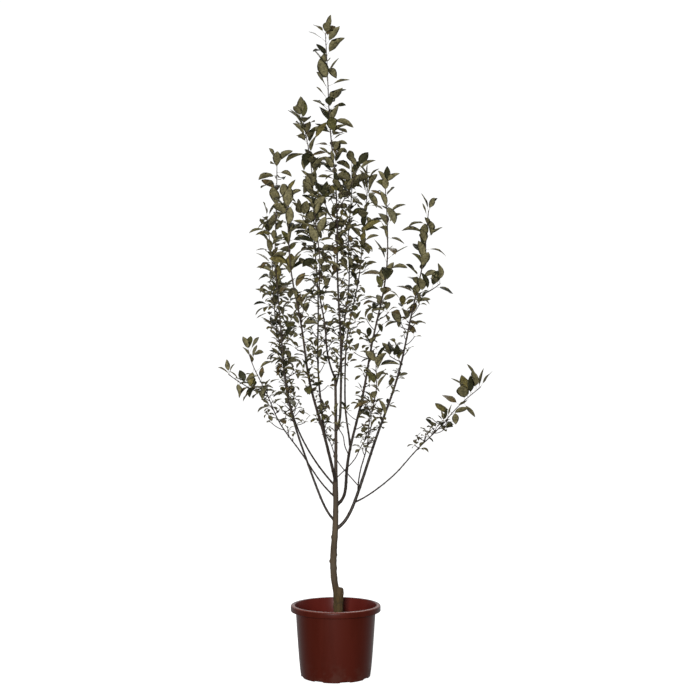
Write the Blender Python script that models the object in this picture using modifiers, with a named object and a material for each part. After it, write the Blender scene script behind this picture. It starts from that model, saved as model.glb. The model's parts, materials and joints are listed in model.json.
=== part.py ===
"""A young crabapple tree in its nursery pot, at its real size.

The origin is the middle of the pot's flat underside, +Z is up and the tree is seen from -Y.
A plastic pot holds the potting mix, and the trunk stands on it from a flat cut at its surface.
Boughs leave the trunk in a vase shape. Each one ends where its leafy shoot begins, and that shoot,
with its spurs and leaves, is one solid of its own.
"""

import math
import random
from collections import namedtuple

import bmesh
import bpy
import numpy as np
from mathutils import Matrix, Vector

# All lengths are metres and all angles are degrees.
CLEARANCE = 0.0003
CUT_CLEARANCE = 0.00033
MERGE_DISTANCE = 1e-6
HAIR = 1e-9

# The pot, from a 330 mm nursery pot
RIM_RADIUS = 0.165
POT_HEIGHT = 0.261
RIM_WIDTH = 0.015
RIM_ROUNDING = 0.0055
# A corner is cut by three points, the middle one drawn in by this share of the rounding.
CORNER_SHARE = 0.3
LIP_SHARE = 0.5
RIM_FOOT = 0.2395
SHOULDER_RADIUS = 0.1464
SHOULDER_HEIGHT = 0.2365
FOOT_RADIUS = 0.1275
# Below 1, this power makes the wall swell a little between foot and shoulder.
WALL_SWELL = 0.75
WALL_PIECES = 2
WALL = 0.0025
FLOOR = 0.003
FOOT_BEVEL = 0.004
POT_SIDES = 32
DRAINS = 8
DRAIN_WIDTH = 0.036
DRAIN_HEIGHT = 0.0060
DRAIN_DEPTH = 0.012
DRAIN_TURN = 16.0

# The potting mix
MIX_TOP = 0.196
MIX_SINK = 0.004
MIX_MOUND_RADIUS = 0.045
MIX_MOUND_FOOT = 0.085
MIX_BANK = 0.012
MIX_GAP = 0.0012
MIX_SIDES = 24

# The trunk: height, sideways and depth offsets of its centre, and its radius
TRUNK_STATIONS = (
    (0.262, 0.0070, 0.0000, 0.0118),
    (0.315, 0.0008, -0.0010, 0.0122),
    (0.360, -0.0060, -0.0020, 0.0122),
    (0.430, -0.0085, 0.0000, 0.0121),
    (0.545, -0.0015, 0.0020, 0.0110),
    (0.640, 0.0003, 0.0010, 0.0098),
    (0.690, -0.0012, 0.0000, 0.0102),
    (0.725, -0.0004, -0.0005, 0.0084),
    (0.765, 0.0004, -0.0010, 0.0064),
    (0.960, 0.0005, 0.0010, 0.0055),
    (1.107, -0.0018, 0.0000, 0.0044),
)
# The rootstock that the trunk is grafted on, with its flare at the surface and its sawn shoulder
ROOTSTOCK_STATIONS = (
    (MIX_TOP + CLEARANCE, 0.0090, 0.0000, 0.0255),
    (0.208, 0.0090, 0.0000, 0.0205),
    (0.228, 0.0094, 0.0000, 0.0182),
    (0.285, 0.0104, 0.0000, 0.0180),
    (0.304, 0.0132, 0.0000, 0.0156),
    (0.318, 0.0162, 0.0000, 0.0120),
    (0.3225, 0.0170, 0.0000, 0.0080),
)
TRUNK_STEP = 0.045
TRUNK_SIDES = 10
BOUGH_STEP = 0.060
BOUGH_SIDES = 6
STEM_STEP = 0.085
STEM_SIDES = 4
SHOOT_TIP_RADIUS = 0.0015

# A limb leaves its parent's centre line at a height, and the leaf at its end reaches the tip. It flares out
# by sweep, with lean as the share that rises straight. It may bow sideways low down, or nod sideways
# near the top, and crook is how far it swings out just above its foot. Above leafy_from it bears leaves,
# and young is this year's growth at its end.
Limb = namedtuple(
    "Limb",
    "name parent leaves_at tip radius leafy_from young sweep lean bow nod crook",
    defaults=(1, 0, 0, 0, 0),
)
LIMBS = (
    Limb("left", "trunk", 0.566, (-0.22, 0.09, 1.95), 0.0044, 0.96, 0.5, 3.4, bow=-0.011, crook=-0.008),
    Limb("left_back", "trunk", 0.696, (-0.272, 0.270, 1.762), 0.0034, 0.96, 0.24, 6.0, 0.42, bow=-0.006),
    Limb("left_low", "trunk", 0.654, (-0.313, -0.22, 1.244), 0.003, 0.92, 0.16, 1.4, bow=-0.008, crook=-0.004),
    Limb("left_front", "trunk", 0.708, (-0.169, -0.290, 1.770), 0.0058, 0.94, 0.38, 2.0, bow=0.012),
    Limb("back_left", "left_front", 0.823, (-0.143, 0.240, 2.151), 0.0038, 0.93, 0.38, bow=-0.018, nod=0.034),
    Limb("front", "trunk", 1.090, (-0.071, -0.320, 1.725), 0.0036, 1.21, 0.22, 8.0, lean=0.6),
    Limb("leader", "trunk", 0.900, (-0.043, 0.020, 2.422), 0.0047, 1.13, 0.55, bow=0.027, crook=0.006),
    Limb("back", "trunk", 1.060, (0.061, 0.300, 1.972), 0.0034, 1.17, 0.26, 5.0, lean=0.6, bow=0.006),
    Limb(
        *("right_front", "trunk", 0.624, (0.167, -0.270, 1.832), 0.0057, 0.95, 0.43, 1.45),
        bow=0.004,
        nod=0.036,
        crook=0.022,
    ),
    Limb(
        *("right_back", "right_front", 0.848, (0.122, 0.340, 1.914), 0.0036, 1.15, 0.30),
        bow=-0.046,
        nod=0.024,
        crook=0.010,
    ),
    Limb(
        *("right", "trunk", 0.538, (0.352, 0.100, 1.774), 0.0060, 0.97, 0.36, 0.95),
        bow=0.054,
        nod=0.032,
        crook=0.0105,
    ),
    Limb("right_inner", "right", 0.676, (0.144, -0.22, 1.202), 0.0025, 0.86, 0.16, 2.4, bow=-0.015, nod=0.008),
    Limb(
        *("right_low", "right", 0.636, (0.596, 0.160, 1.095), 0.0029, 0.81, 0.20),
        bow=0.033,
        nod=-0.022,
        crook=0.007,
    ),
    Limb("inner_left", "right", 0.690, (-0.055, 0.090, 1.020), 0.0020, 0.86, 0.06, 2.4),
    Limb("inner_middle", "right_front", 0.812, (-0.025, -0.085, 1.020), 0.0020, 0.92, 0.06),
    Limb("inner_right", "trunk", 0.722, (0.138, 0.090, 1.000), 0.0020, 0.87, 0.06, 2.35),
)
# The inner twigs are too thin to be boughs, so each is one leafy shoot from its parent on.
ALL_LEAFY = ("inner_left", "inner_middle", "inner_right")
INNER_BARE_SHARE = 0.6
SHOOT_FOOT = 0.012
# Long side shoots in a limb's leafy part: the limb, the height they leave it, and their tip
SIDE_SHOOTS = (
    ("right", 1.388, (0.435, 0.010, 1.485)),
    ("right", 1.150, (0.150, 0.040, 1.225)),
    ("right", 1.270, (0.190, 0.050, 1.330)),
    ("left_low", 1.030, (-0.420, -0.270, 1.150)),
    ("leader", 1.700, (0.105, -0.070, 1.915)),
    ("leader", 1.640, (-0.070, 0.080, 1.820)),
    ("back_left", 1.590, (-0.150, 0.080, 1.760)),
)
SIDE_SHOOT_SAG = 0.012
SIDE_SHOOT_YOUNG = 0.10
SIDE_SHOOT_RADIUS = 0.0021
SIDE_SHOOT_PIECES = 3
WANDER = 0.005
# Each limb wanders with its own shift and turns; its bow is fullest low down and its nod high up.
WANDER_SHIFT = 2.0
WANDER_TURNS = (15.0, 11.0)
BOW_POWER = 0.6
NOD_POWER = 1.8
# A crook is fullest at this height above the limb's foot.
CROOK_RISE = 0.050

# The rule of growth. Young wood bears single leaves, older wood bears spurs with a tuft of leaves.
GOLDEN_TURN = 137.5
RETRY_TURN = 47.0
YOUNG_STEP = 0.027
SPUR_STEP = 0.063
SPUR_REACHES = (0.014, 0.022, 0.034, 0.055)
LEAVES_ON_A_SPUR = 3
TUFT_SPREAD = 75
TUFT_START = 0.0015
TUFT_STEP = 0.0035
END_LEAF_REACH = 0.050
YOUNG_LEAF = 0.090
SPUR_LEAF = 0.064
LEAF_SHAPE = 0.58
LEAF_WIDEST = 0.60
LEAF_KEEL = 0.0016
LEAF_ROOT = 0.0006
SPUR_RADIUS = 0.0019
SPUR_FOOT_RADIUS = 0.0022
SPACE_MARGIN = 0.003
LIMB_MARGIN = 0.006
STEM_MARGIN = 0.005
LEAF_GAP = 0.010
SPUR_GAP = 0.008
TRIES = 12
FAR_AWAY = 9.0
SAMPLE_STEP = 0.008
# Where a leaf's space is tested, in lengths along it and half widths across, and where a spur's is
TESTED_ON_A_LEAF = (
    *((0.35, 0), (0.45, 0.7), (0.45, -0.7), (0.6, 0), (0.6, 1), (0.6, -1)),
    *((0.8, 0.5), (0.8, -0.5), (0.8, 0), (1, 0)),
)
TESTED_ON_A_SPUR = (0.6, 1.0)
# Rises from level and rolls about a leaf's own length, each as the two ends of a range
YOUNG_RISE = (8, 52)
END_LEAF_RISE = 78
RISE_NEAR_END = 25
SPUR_RISE = (10, 50)
TUFT_RISE = (5, 50)
YOUNG_ROLL = (-45, 45)
TUFT_ROLL = (-40, 40)
ANY_ROLL = (-90, 90)
# Spreads of sizes, steps and turns
YOUNG_SIZES = (0.85, 1.1)
TUFT_SIZES = (0.7, 1.15)
STEPS = (0.85, 1.15)
TURNS = (-20, 20)
# Leaves grow to full size over this stretch from the end of a shoot, from this share of it
FILLING_OUT = 0.12
SIZE_AT_END = 0.72
SMOOTH_UP_TO = 40

BARK = ("bark", (0.105, 0.078, 0.052), 0.85)
LEAF = ("leaf", (0.070, 0.068, 0.030), 0.55)
PLASTIC = ("pot_plastic", (0.085, 0.012, 0.008), 0.45)
MIX = ("potting_mix", (0.045, 0.030, 0.020), 0.95)


def clear_scene():
    for obj in list(bpy.data.objects):
        bpy.data.objects.remove(obj)


def new_collection(name):
    made = bpy.data.collections.new(name)
    bpy.context.scene.collection.children.link(made)
    return made


def material(look):
    name, colour, roughness = look
    found = bpy.data.materials.get(name)
    if found:
        return found
    made = bpy.data.materials.new(name)
    made.use_nodes = True
    shader = made.node_tree.nodes["Principled BSDF"]
    shader.inputs["Base Color"].default_value = (*colour, 1.0)
    shader.inputs["Roughness"].default_value = roughness
    shader.inputs["Metallic"].default_value = 0.0
    made.diffuse_color = (*colour, 1.0)
    return made


def new_object(name, mesh, collection, look=None):
    obj = bpy.data.objects.new(name, mesh)
    collection.objects.link(obj)
    if look:
        mesh.materials.clear()
        mesh.materials.append(material(look))
    return obj


def tube(name, points, radii, sides, collection, look=None):
    """A round limb through the points, made as a bevelled curve and then turned into a welded mesh."""
    curve = bpy.data.curves.new(name, "CURVE")
    curve.dimensions = "3D"
    curve.use_fill_caps = True
    curve.bevel_resolution = sides // 2 - 2
    curve.bevel_depth = max(radii)
    spline = curve.splines.new("POLY")
    spline.points.add(len(points) - 1)
    for spot, point, radius in zip(spline.points, points, radii):
        spot.co = (*point, 1.0)
        spot.radius = radius / curve.bevel_depth
    wire = bpy.data.objects.new(name + "_curve", curve)
    bpy.context.scene.collection.objects.link(wire)
    bpy.context.view_layer.update()
    evaluated = wire.evaluated_get(bpy.context.evaluated_depsgraph_get())
    mesh = bpy.data.meshes.new_from_object(evaluated)
    mesh.name = name
    work = bmesh.new()
    work.from_mesh(mesh)
    bmesh.ops.remove_doubles(work, verts=work.verts, dist=MERGE_DISTANCE)
    bmesh.ops.recalc_face_normals(work, faces=work.faces)
    work.to_mesh(mesh)
    work.free()
    bpy.data.objects.remove(wire)
    return new_object(name, mesh, collection, look)


def apply_modifiers(obj):
    """Replaces the object's mesh by the one that its modifiers make."""
    bpy.context.view_layer.update()
    evaluated = obj.evaluated_get(bpy.context.evaluated_depsgraph_get())
    mesh = bpy.data.meshes.new_from_object(evaluated)
    mesh.name = obj.name
    obj.modifiers.clear()
    obj.data = mesh


def boolean(obj, operation, other=None, collection=None):
    """Cuts the object by another, or joins it with another or with all that a collection holds."""
    modifier = obj.modifiers.new(operation.lower(), "BOOLEAN")
    modifier.operation = operation
    modifier.solver = "EXACT"
    if collection:
        modifier.operand_type = "COLLECTION"
        modifier.collection = collection
    else:
        modifier.object = other
    apply_modifiers(obj)


def keep_largest_body(obj):
    """Drops the scraps that a Boolean left loose, and fills any hollow that it sealed."""
    work = bmesh.new()
    work.from_mesh(obj.data)
    bmesh.ops.triangulate(work, faces=work.faces)
    left = set(work.faces)
    shells = []
    while left:
        stack = [left.pop()]
        shell = set(stack)
        while stack:
            for edge in stack.pop().edges:
                if len(edge.link_faces) > 2:
                    continue
                fresh = [face for face in edge.link_faces if face not in shell]
                shell.update(fresh)
                stack.extend(fresh)
        left -= shell
        shells.append(shell)
    shells.sort(key=len)
    for shell in shells[:-1]:
        bmesh.ops.delete(work, geom=list(shell), context="FACES")
    work.to_mesh(obj.data)
    work.free()


def through_stations(stations, height):
    """Centre and radius at a height, on a smooth curve through the stations."""
    heights = [row[0] for row in stations]
    height = min(max(height, heights[0]), heights[-1])
    after = max(1, next(i for i, z in enumerate(heights) if z >= height - HAIR))
    first, last = stations[after - 1], stations[after]
    before, beyond = stations[max(after - 2, 0)], stations[min(after + 1, len(stations) - 1)]
    span = last[0] - first[0]
    t = (height - first[0]) / span
    values = []
    for k in (1, 2, 3):
        slope_in = (last[k] - before[k]) / (last[0] - before[0]) * span
        slope_out = (beyond[k] - first[k]) / (beyond[0] - first[0]) * span
        values.append(
            first[k] * (2 * t**3 - 3 * t**2 + 1)
            + slope_in * (t**3 - 2 * t**2 + t)
            + last[k] * (3 * t**2 - 2 * t**3)
            + slope_out * (t**3 - t**2)
        )
    return Vector((values[0], values[1], height)), values[2]


def named_limb(name):
    return next(limb for limb in LIMBS if limb.name == name)


def limb_start(limb):
    """Where the limb's centre line leaves its parent's."""
    if limb.parent == "trunk":
        return through_stations(TRUNK_STATIONS, limb.leaves_at)[0]
    parent = named_limb(limb.parent)
    return limb_at_height(parent, limb.leaves_at)


def limb_point(limb, t):
    """The limb's centre line, t running from 0 at its parent to 1 at the tip of its last leaf."""
    start, tip = limb_start(limb), Vector(limb.tip)
    out = limb.lean * t + (1 - limb.lean) * (1 - (1 - t) ** limb.sweep)
    sway = WANDER * math.sin(math.pi * t)
    phase = WANDER_SHIFT * LIMBS.index(limb)
    x = start.x + (tip.x - start.x) * out + sway * math.sin(phase + WANDER_TURNS[0] * t)
    y = start.y + (tip.y - start.y) * out + sway * math.cos(phase + WANDER_TURNS[1] * t)
    x += limb.bow * math.sin(math.pi * t**BOW_POWER) + limb.nod * math.sin(math.pi * t**NOD_POWER)
    rise = (tip.z - start.z) * t / CROOK_RISE
    x += limb.crook * rise * math.exp(1 - rise)
    return Vector((x, y, start.z + (tip.z - start.z) * t))


def stem_end(limb):
    """The share at which the wood ends and the last leaf begins."""
    return 1 - END_LEAF_REACH / (Vector(limb.tip) - limb_start(limb)).length


def limb_at_height(limb, height):
    start, tip = limb_start(limb), Vector(limb.tip)
    return limb_point(limb, (height - start.z) / (tip.z - start.z))


def limb_radius(limb, t):
    return SHOOT_TIP_RADIUS + (limb.radius - SHOOT_TIP_RADIUS) * (1 - t)


def limb_share(limb, height):
    start = limb_start(limb)
    return (height - start.z) / (limb.tip[2] - start.z)


def stretch(limb, first, last, step):
    """Points and radii of the limb from share first to share last, about a step apart."""
    length = (limb_point(limb, last) - limb_point(limb, first)).length
    count = max(2, math.ceil(length / step))
    shares = [first + (last - first) * k / count for k in range(count + 1)]
    return [limb_point(limb, t) for t in shares], [limb_radius(limb, t) for t in shares]


def shortened(points, at_start=0.0, at_end=0.0):
    """The same line, with its first or last point drawn in along it."""
    points = [Vector(p) for p in points]
    points[0] += (points[1] - points[0]).normalized() * at_start
    points[-1] += (points[-2] - points[-1]).normalized() * at_end
    return points


def heading(azimuth, elevation):
    """A unit vector that many degrees round from +X and up from level."""
    around, up = math.radians(azimuth), math.radians(elevation)
    return Vector((math.cos(around) * math.cos(up), math.sin(around) * math.cos(up), math.sin(up)))


class Line:
    """A stem's centre line, read by the distance from its tip."""

    def __init__(self, points, radii):
        self.points = points[::-1]
        self.radii = radii[::-1]
        self.along = [0.0]
        for a, b in zip(self.points, self.points[1:]):
            self.along.append(self.along[-1] + (b - a).length)
        self.length = self.along[-1]

    def at(self, distance):
        k = max(1, next((i for i, s in enumerate(self.along) if s >= distance), len(self.along) - 1))
        t = (distance - self.along[k - 1]) / (self.along[k] - self.along[k - 1])
        return self.points[k - 1].lerp(self.points[k], t)


class Spaces:
    """Each shoot's own space: what lies nearer to its stem than to any other, clear of all bare wood.
    Within it the leaves keep a little apart from each other, and their blades from the stem."""

    def __init__(self):
        self.stems = {}
        self.wood = []
        self.leaves = {}

    def add_stem(self, name, points, radii):
        self.stems.setdefault(name, []).append(self.samples(points, radii))

    def add_wood(self, points, radii):
        self.wood.append(self.samples(points, radii))

    @staticmethod
    def samples(points, radii):
        rows = []
        for (a, ra), (b, rb) in zip(zip(points, radii), zip(points[1:], radii[1:])):
            count = max(1, math.ceil((b - a).length / SAMPLE_STEP))
            for k in range(count):
                t = k / count
                rows.append((*a.lerp(b, t), ra + (rb - ra) * t))
        rows.append((*points[-1], radii[-1]))
        return np.array(rows)

    @staticmethod
    def distance(points, samples):
        gaps = np.linalg.norm(points[:, None, :] - samples[None, :, :3], axis=2)
        return gaps, gaps - samples[None, :, 3]

    def settle(self):
        self.wood = np.concatenate(self.wood)
        self.stems = {name: np.concatenate(rows) for name, rows in self.stems.items()}
        self.others = {
            name: np.concatenate([rows for other, rows in self.stems.items() if other != name])
            for name in self.stems
        }
        self.leaves = {name: np.full((1, 3), FAR_AWAY) for name in self.stems}

    def holds(self, name, points, gap):
        """Whether the points keep to the named shoot's space, and this gap from the leaves it has."""
        points = np.array([tuple(p) for p in points])
        own = self.distance(points, self.stems[name])[0].min(axis=1)
        others, surfaces = self.distance(points, self.others[name])
        if (others.min(axis=1) < own + SPACE_MARGIN).any() or surfaces.min() < LIMB_MARGIN:
            return False
        if own.min() < STEM_MARGIN or self.distance(points, self.wood)[1].min() < LIMB_MARGIN:
            return False
        return np.linalg.norm(points[:, None, :] - self.leaves[name][None, :, :], axis=2).min() > gap

    def add_leaf(self, name, points):
        self.leaves[name] = np.concatenate([self.leaves[name], [tuple(p) for p in points]])


def leaf_points(root, direction, side, length):
    """Points over the outer part of a leaf's blade, at which its space is tested."""
    half = side * length * LEAF_SHAPE / 2
    return [root + direction * length * along + half * across for along, across in TESTED_ON_A_LEAF]


def fitted_leaf(spaces, name, root, azimuth, elevation, length, roll):
    """The leaf at the first turn about its root that keeps it in its own space, or None."""
    for k in range(TRIES):
        turn = azimuth + k * RETRY_TURN
        direction = heading(turn, elevation)
        side = Matrix.Rotation(math.radians(roll), 3, direction) @ heading(turn + 90, 0)
        points = leaf_points(root, direction, side, length)
        if spaces.holds(name, points, LEAF_GAP):
            spaces.add_leaf(name, points)
            return root, direction, side, length
    return None


def fitted_spur(spaces, name, foot, azimuth, elevation, reach):
    """A spur's azimuth and tip at the first turn that keeps it in its own space, or None."""
    for k in range(TRIES):
        turn = azimuth + k * RETRY_TURN
        direction = heading(turn, elevation)
        points = [foot + direction * reach * share for share in TESTED_ON_A_SPUR]
        if spaces.holds(name, points, SPUR_GAP):
            return turn, points[-1]
    return None


def grow_young(spaces, name, line, length, draw):
    """Single leaves round the stem from its tip down. A leaf is its root, direction, side and length."""
    turn = draw.uniform(0, 360)
    end = line.at(SHOOT_TIP_RADIUS)
    roll = draw.uniform(*ANY_ROLL)
    leaves = [fitted_leaf(spaces, name, end, turn, END_LEAF_RISE, END_LEAF_REACH, roll)]
    distance = YOUNG_STEP / 2
    while distance < length:
        filled = min(1.0, distance / FILLING_OUT)
        turn += GOLDEN_TURN + draw.uniform(*TURNS)
        rise = draw.uniform(*YOUNG_RISE) + RISE_NEAR_END * (1 - filled)
        size = YOUNG_LEAF * (SIZE_AT_END + (1 - SIZE_AT_END) * filled) * draw.uniform(*YOUNG_SIZES)
        roll = draw.uniform(*YOUNG_ROLL)
        leaves.append(fitted_leaf(spaces, name, line.at(distance), turn, rise, size, roll))
        distance += YOUNG_STEP * draw.uniform(*STEPS)
    return leaves


def grow_spurs(spaces, name, line, start, end, draw):
    """Spurs round the older wood, each with its tuft. A spur is its foot and its tip."""
    spurs, leaves = [], []
    turn = draw.uniform(0, 360)
    distance = start
    while distance < end:
        turn += GOLDEN_TURN + draw.uniform(*TURNS)
        foot = line.at(distance)
        distance += SPUR_STEP * draw.uniform(*STEPS)
        rise = draw.uniform(*SPUR_RISE)
        spur = fitted_spur(spaces, name, foot, turn, rise, draw.choice(SPUR_REACHES))
        if not spur:
            continue
        azimuth, tip = spur
        tuft = []
        for k in range(LEAVES_ON_A_SPUR):
            around = azimuth + TUFT_SPREAD * (k - (LEAVES_ON_A_SPUR - 1) / 2) + draw.uniform(*TURNS)
            root = tip + (foot - tip).normalized() * (TUFT_START + TUFT_STEP * k)
            rise, roll = draw.uniform(*TUFT_RISE), draw.uniform(*TUFT_ROLL)
            size = SPUR_LEAF * draw.uniform(*TUFT_SIZES)
            tuft.append(fitted_leaf(spaces, name, root, around, rise, size, roll))
        if any(tuft):
            spurs.append((foot, tip))
            leaves.extend(tuft)
    return spurs, leaves


def grow(spaces, limb, lines):
    """The spurs and leaves of one shoot and its side shoots, by a rule seeded with its name."""
    draw = random.Random(limb.name)
    spurs, leaves = [], []
    bare_share = INNER_BARE_SHARE if limb.name in ALL_LEAFY else 0.0
    for line in lines:
        young = limb.young if line is lines[0] else SIDE_SHOOT_YOUNG
        end = line.length * (1 - bare_share) - SHOOT_FOOT
        leaves += grow_young(spaces, limb.name, line, young, draw)
        more_spurs, more_leaves = grow_spurs(spaces, limb.name, line, young, end, draw)
        spurs += more_spurs
        leaves += more_leaves
    return spurs, [leaf for leaf in leaves if leaf]


def loft(rings, tip):
    """A closed mesh through rings of the same count of points, drawn together to a tip."""
    work = bmesh.new()
    rows = [[work.verts.new(point) for point in ring] for ring in rings]
    work.faces.new(rows[0][::-1])
    for low, high in zip(rows, rows[1:]):
        for k in range(len(low)):
            work.faces.new((low[k - 1], low[k], high[k], high[k - 1]))
    end = work.verts.new(tip)
    for k in range(len(rows[-1])):
        work.faces.new((rows[-1][k - 1], rows[-1][k], end))
    bmesh.ops.recalc_face_normals(work, faces=work.faces)
    mesh = bpy.data.meshes.new("leaf")
    work.to_mesh(mesh)
    work.free()
    return mesh


def leaf_mesh(root, direction, side, length):
    """A leaf as a three-sided blade: flat above, with a keel below, and a root thick enough to fuse."""
    below = side.cross(direction).normalized()
    half = length * LEAF_SHAPE / 2
    middle = root + direction * length * LEAF_WIDEST
    foot = [root + side * LEAF_ROOT, root - side * LEAF_ROOT, root + below * LEAF_ROOT]
    widest = [middle + side * half, middle - side * half, middle + below * LEAF_KEEL]
    return loft([foot, widest], root + direction * length)


def spur_mesh(foot, tip):
    """A three-sided twig from a stem's centre to its tuft."""
    work = bmesh.new()
    length = (tip - foot).length
    bmesh.ops.create_cone(
        work, cap_ends=True, segments=3, radius1=SPUR_FOOT_RADIUS, radius2=SPUR_RADIUS, depth=length
    )
    turn = (tip - foot).to_track_quat("Z", "Y").to_matrix().to_4x4()
    bmesh.ops.transform(work, verts=work.verts, matrix=Matrix.Translation((foot + tip) / 2) @ turn)
    mesh = bpy.data.meshes.new("spur")
    work.to_mesh(mesh)
    work.free()
    return mesh


def turned(name, profile, sides, collection, look):
    """A turned solid, from a profile that runs down the outside and ends on the axis."""
    mesh = bpy.data.meshes.new(name)
    mesh.from_pydata([(r, 0.0, z) for r, z in profile], [(k, k + 1) for k in range(len(profile) - 1)], [])
    obj = new_object(name, mesh, collection)
    screw = obj.modifiers.new("turn", "SCREW")
    screw.steps = screw.render_steps = sides
    screw.use_merge_vertices = True
    screw.merge_threshold = MERGE_DISTANCE
    apply_modifiers(obj)
    work = bmesh.new()
    work.from_mesh(obj.data)
    bmesh.ops.remove_doubles(work, verts=work.verts, dist=MERGE_DISTANCE)
    bmesh.ops.recalc_face_normals(work, faces=work.faces)
    work.to_mesh(obj.data)
    work.free()
    obj.data.materials.append(material(look))
    return obj


def wall_radius(height):
    """The pot's outer radius at a height below its shoulder."""
    share = max(0.0, (height - FOOT_BEVEL) / (SHOULDER_HEIGHT - FOOT_BEVEL))
    return FOOT_RADIUS + (SHOULDER_RADIUS - FOOT_RADIUS) * share**WALL_SWELL


def wall_profile(low, high, inset):
    """Points up the pot's wall between two heights, set in from its outside."""
    heights = [low + (high - low) * k / WALL_PIECES for k in range(WALL_PIECES + 1)]
    return [(wall_radius(height) - inset, height) for height in heights]


def make_pot(parts, cutters):
    """A pot with a broad rim that stands out over its wall, a flat floor, and drain slots round its foot."""
    inner_rim = RIM_RADIUS - RIM_WIDTH
    lip = (inner_rim + LIP_SHARE * RIM_ROUNDING, POT_HEIGHT)
    outside = [
        lip,
        (RIM_RADIUS - RIM_ROUNDING, POT_HEIGHT),
        (RIM_RADIUS - CORNER_SHARE * RIM_ROUNDING, POT_HEIGHT - CORNER_SHARE * RIM_ROUNDING),
        (RIM_RADIUS, POT_HEIGHT - RIM_ROUNDING),
        (RIM_RADIUS, RIM_FOOT),
        *wall_profile(SHOULDER_HEIGHT, FOOT_BEVEL, 0.0),
        (FOOT_RADIUS - FOOT_BEVEL, 0.0),
        (0.0, 0.0),
    ]
    inside = [
        (0.0, FLOOR),
        *wall_profile(FLOOR, SHOULDER_HEIGHT, WALL),
        (inner_rim, POT_HEIGHT - LIP_SHARE * RIM_ROUNDING),
        lip,
    ]
    pot = turned("pot", outside + inside, POT_SIDES, parts, PLASTIC)
    slots = bmesh.new()
    for k in range(DRAINS):
        around = Matrix.Rotation(math.radians(DRAIN_TURN - 90 + 360 * k / DRAINS), 4, "Z")
        place = Matrix.Translation((FOOT_RADIUS, 0.0, 0.0))
        size = Matrix.Diagonal((2 * DRAIN_DEPTH, DRAIN_WIDTH, 2 * DRAIN_HEIGHT, 1.0))
        bmesh.ops.create_cube(slots, size=1.0, matrix=around @ place @ size)
    mesh = bpy.data.meshes.new("drain_slots")
    slots.to_mesh(mesh)
    slots.free()
    cutter = new_object("drain_slots", mesh, cutters)
    cutter.hide_render = True
    cutter.display_type = "WIRE"
    boolean(pot, "DIFFERENCE", cutter)


def make_potting_mix(parts):
    """The mix fills the pot to below its shoulder, flat round the trunk and a little sunk between."""
    low = FLOOR + CLEARANCE
    inset = WALL + MIX_GAP
    top_radius = wall_radius(MIX_TOP) - inset
    profile = [
        (0.0, MIX_TOP),
        (MIX_MOUND_RADIUS, MIX_TOP),
        (MIX_MOUND_FOOT, MIX_TOP - MIX_SINK),
        (top_radius - MIX_BANK, MIX_TOP - MIX_SINK),
        *wall_profile(MIX_TOP, low, inset),
        (0.0, low),
    ]
    turned("potting_mix", profile, MIX_SIDES, parts, MIX)


def station_line(stations, step):
    count = math.ceil((stations[-1][0] - stations[0][0]) / step)
    rows = [
        through_stations(stations, stations[0][0] + (stations[-1][0] - stations[0][0]) * k / count)
        for k in range(count + 1)
    ]
    return [row[0] for row in rows], [row[1] for row in rows]


def rows_of(stations):
    return [Vector((x, y, z)) for z, x, y, _ in stations], [row[3] for row in stations]


def make_trunk(parts, cutters):
    """The trunk on its swollen rootstock, and a slightly thicker copy that the boughs are cut back by."""
    points, radii = station_line(TRUNK_STATIONS, TRUNK_STEP)
    trunk = tube("trunk", points, radii, TRUNK_SIDES, parts, BARK)
    rootstock = tube("rootstock", *rows_of(ROOTSTOCK_STATIONS), TRUNK_SIDES, cutters)
    boolean(trunk, "UNION", rootstock)
    bpy.data.objects.remove(rootstock)
    thicker = tube("around_trunk", points, [r + CUT_CLEARANCE for r in radii], TRUNK_SIDES, cutters)
    return thicker, (points, radii)


def leafy_share(limb):
    """The share of the limb at which its leafy shoot begins."""
    return 0.0 if limb.name in ALL_LEAFY else limb_share(limb, limb.leafy_from)


def bare_stretch(limb):
    return stretch(limb, 0.0, leafy_share(limb), BOUGH_STEP)


def leafy_stretch(limb):
    return stretch(limb, leafy_share(limb), stem_end(limb), STEM_STEP)


def setback(limb):
    """How far a bough's end and its shoot's start are each drawn in, so that their square ends stay clear."""
    bare, radii = bare_stretch(limb)
    leafy = leafy_stretch(limb)[0]
    bend = (bare[-1] - bare[-2]).angle(leafy[1] - leafy[0])
    return (CLEARANCE + radii[-1] * bend) / 2


def make_bough(limb, parts, cutters, around):
    """A limb's bare wood, cut back to stand clear of its parent. Its own thicker copy goes to around."""
    points, radii = bare_stretch(limb)
    thicker = [radius + CUT_CLEARANCE for radius in radii]
    around[limb.name] = tube("around_" + limb.name, points, thicker, BOUGH_SIDES, cutters)
    ended = shortened(points, at_end=setback(limb))
    bough = tube(limb.name + "_bough", ended, radii, BOUGH_SIDES, parts, BARK)
    boolean(bough, "DIFFERENCE", around[limb.parent])
    keep_largest_body(bough)
    return points, radii


def side_shoot_lines(limb):
    """The lines of the limb's long side shoots, each sagging a little on its way to its tip."""
    lines = []
    for name, height, tip in SIDE_SHOOTS:
        if name != limb.name:
            continue
        foot = limb_at_height(limb, height)
        shares = [k / SIDE_SHOOT_PIECES for k in range(SIDE_SHOOT_PIECES + 1)]
        points = [foot.lerp(Vector(tip), t) for t in shares]
        for point, t in zip(points, shares):
            point.z -= SIDE_SHOOT_SAG * math.sin(math.pi * t)
        radii = [SHOOT_TIP_RADIUS + (SIDE_SHOOT_RADIUS - SHOOT_TIP_RADIUS) * (1 - t) for t in shares]
        lines.append(Line(points, radii))
    return lines


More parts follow.
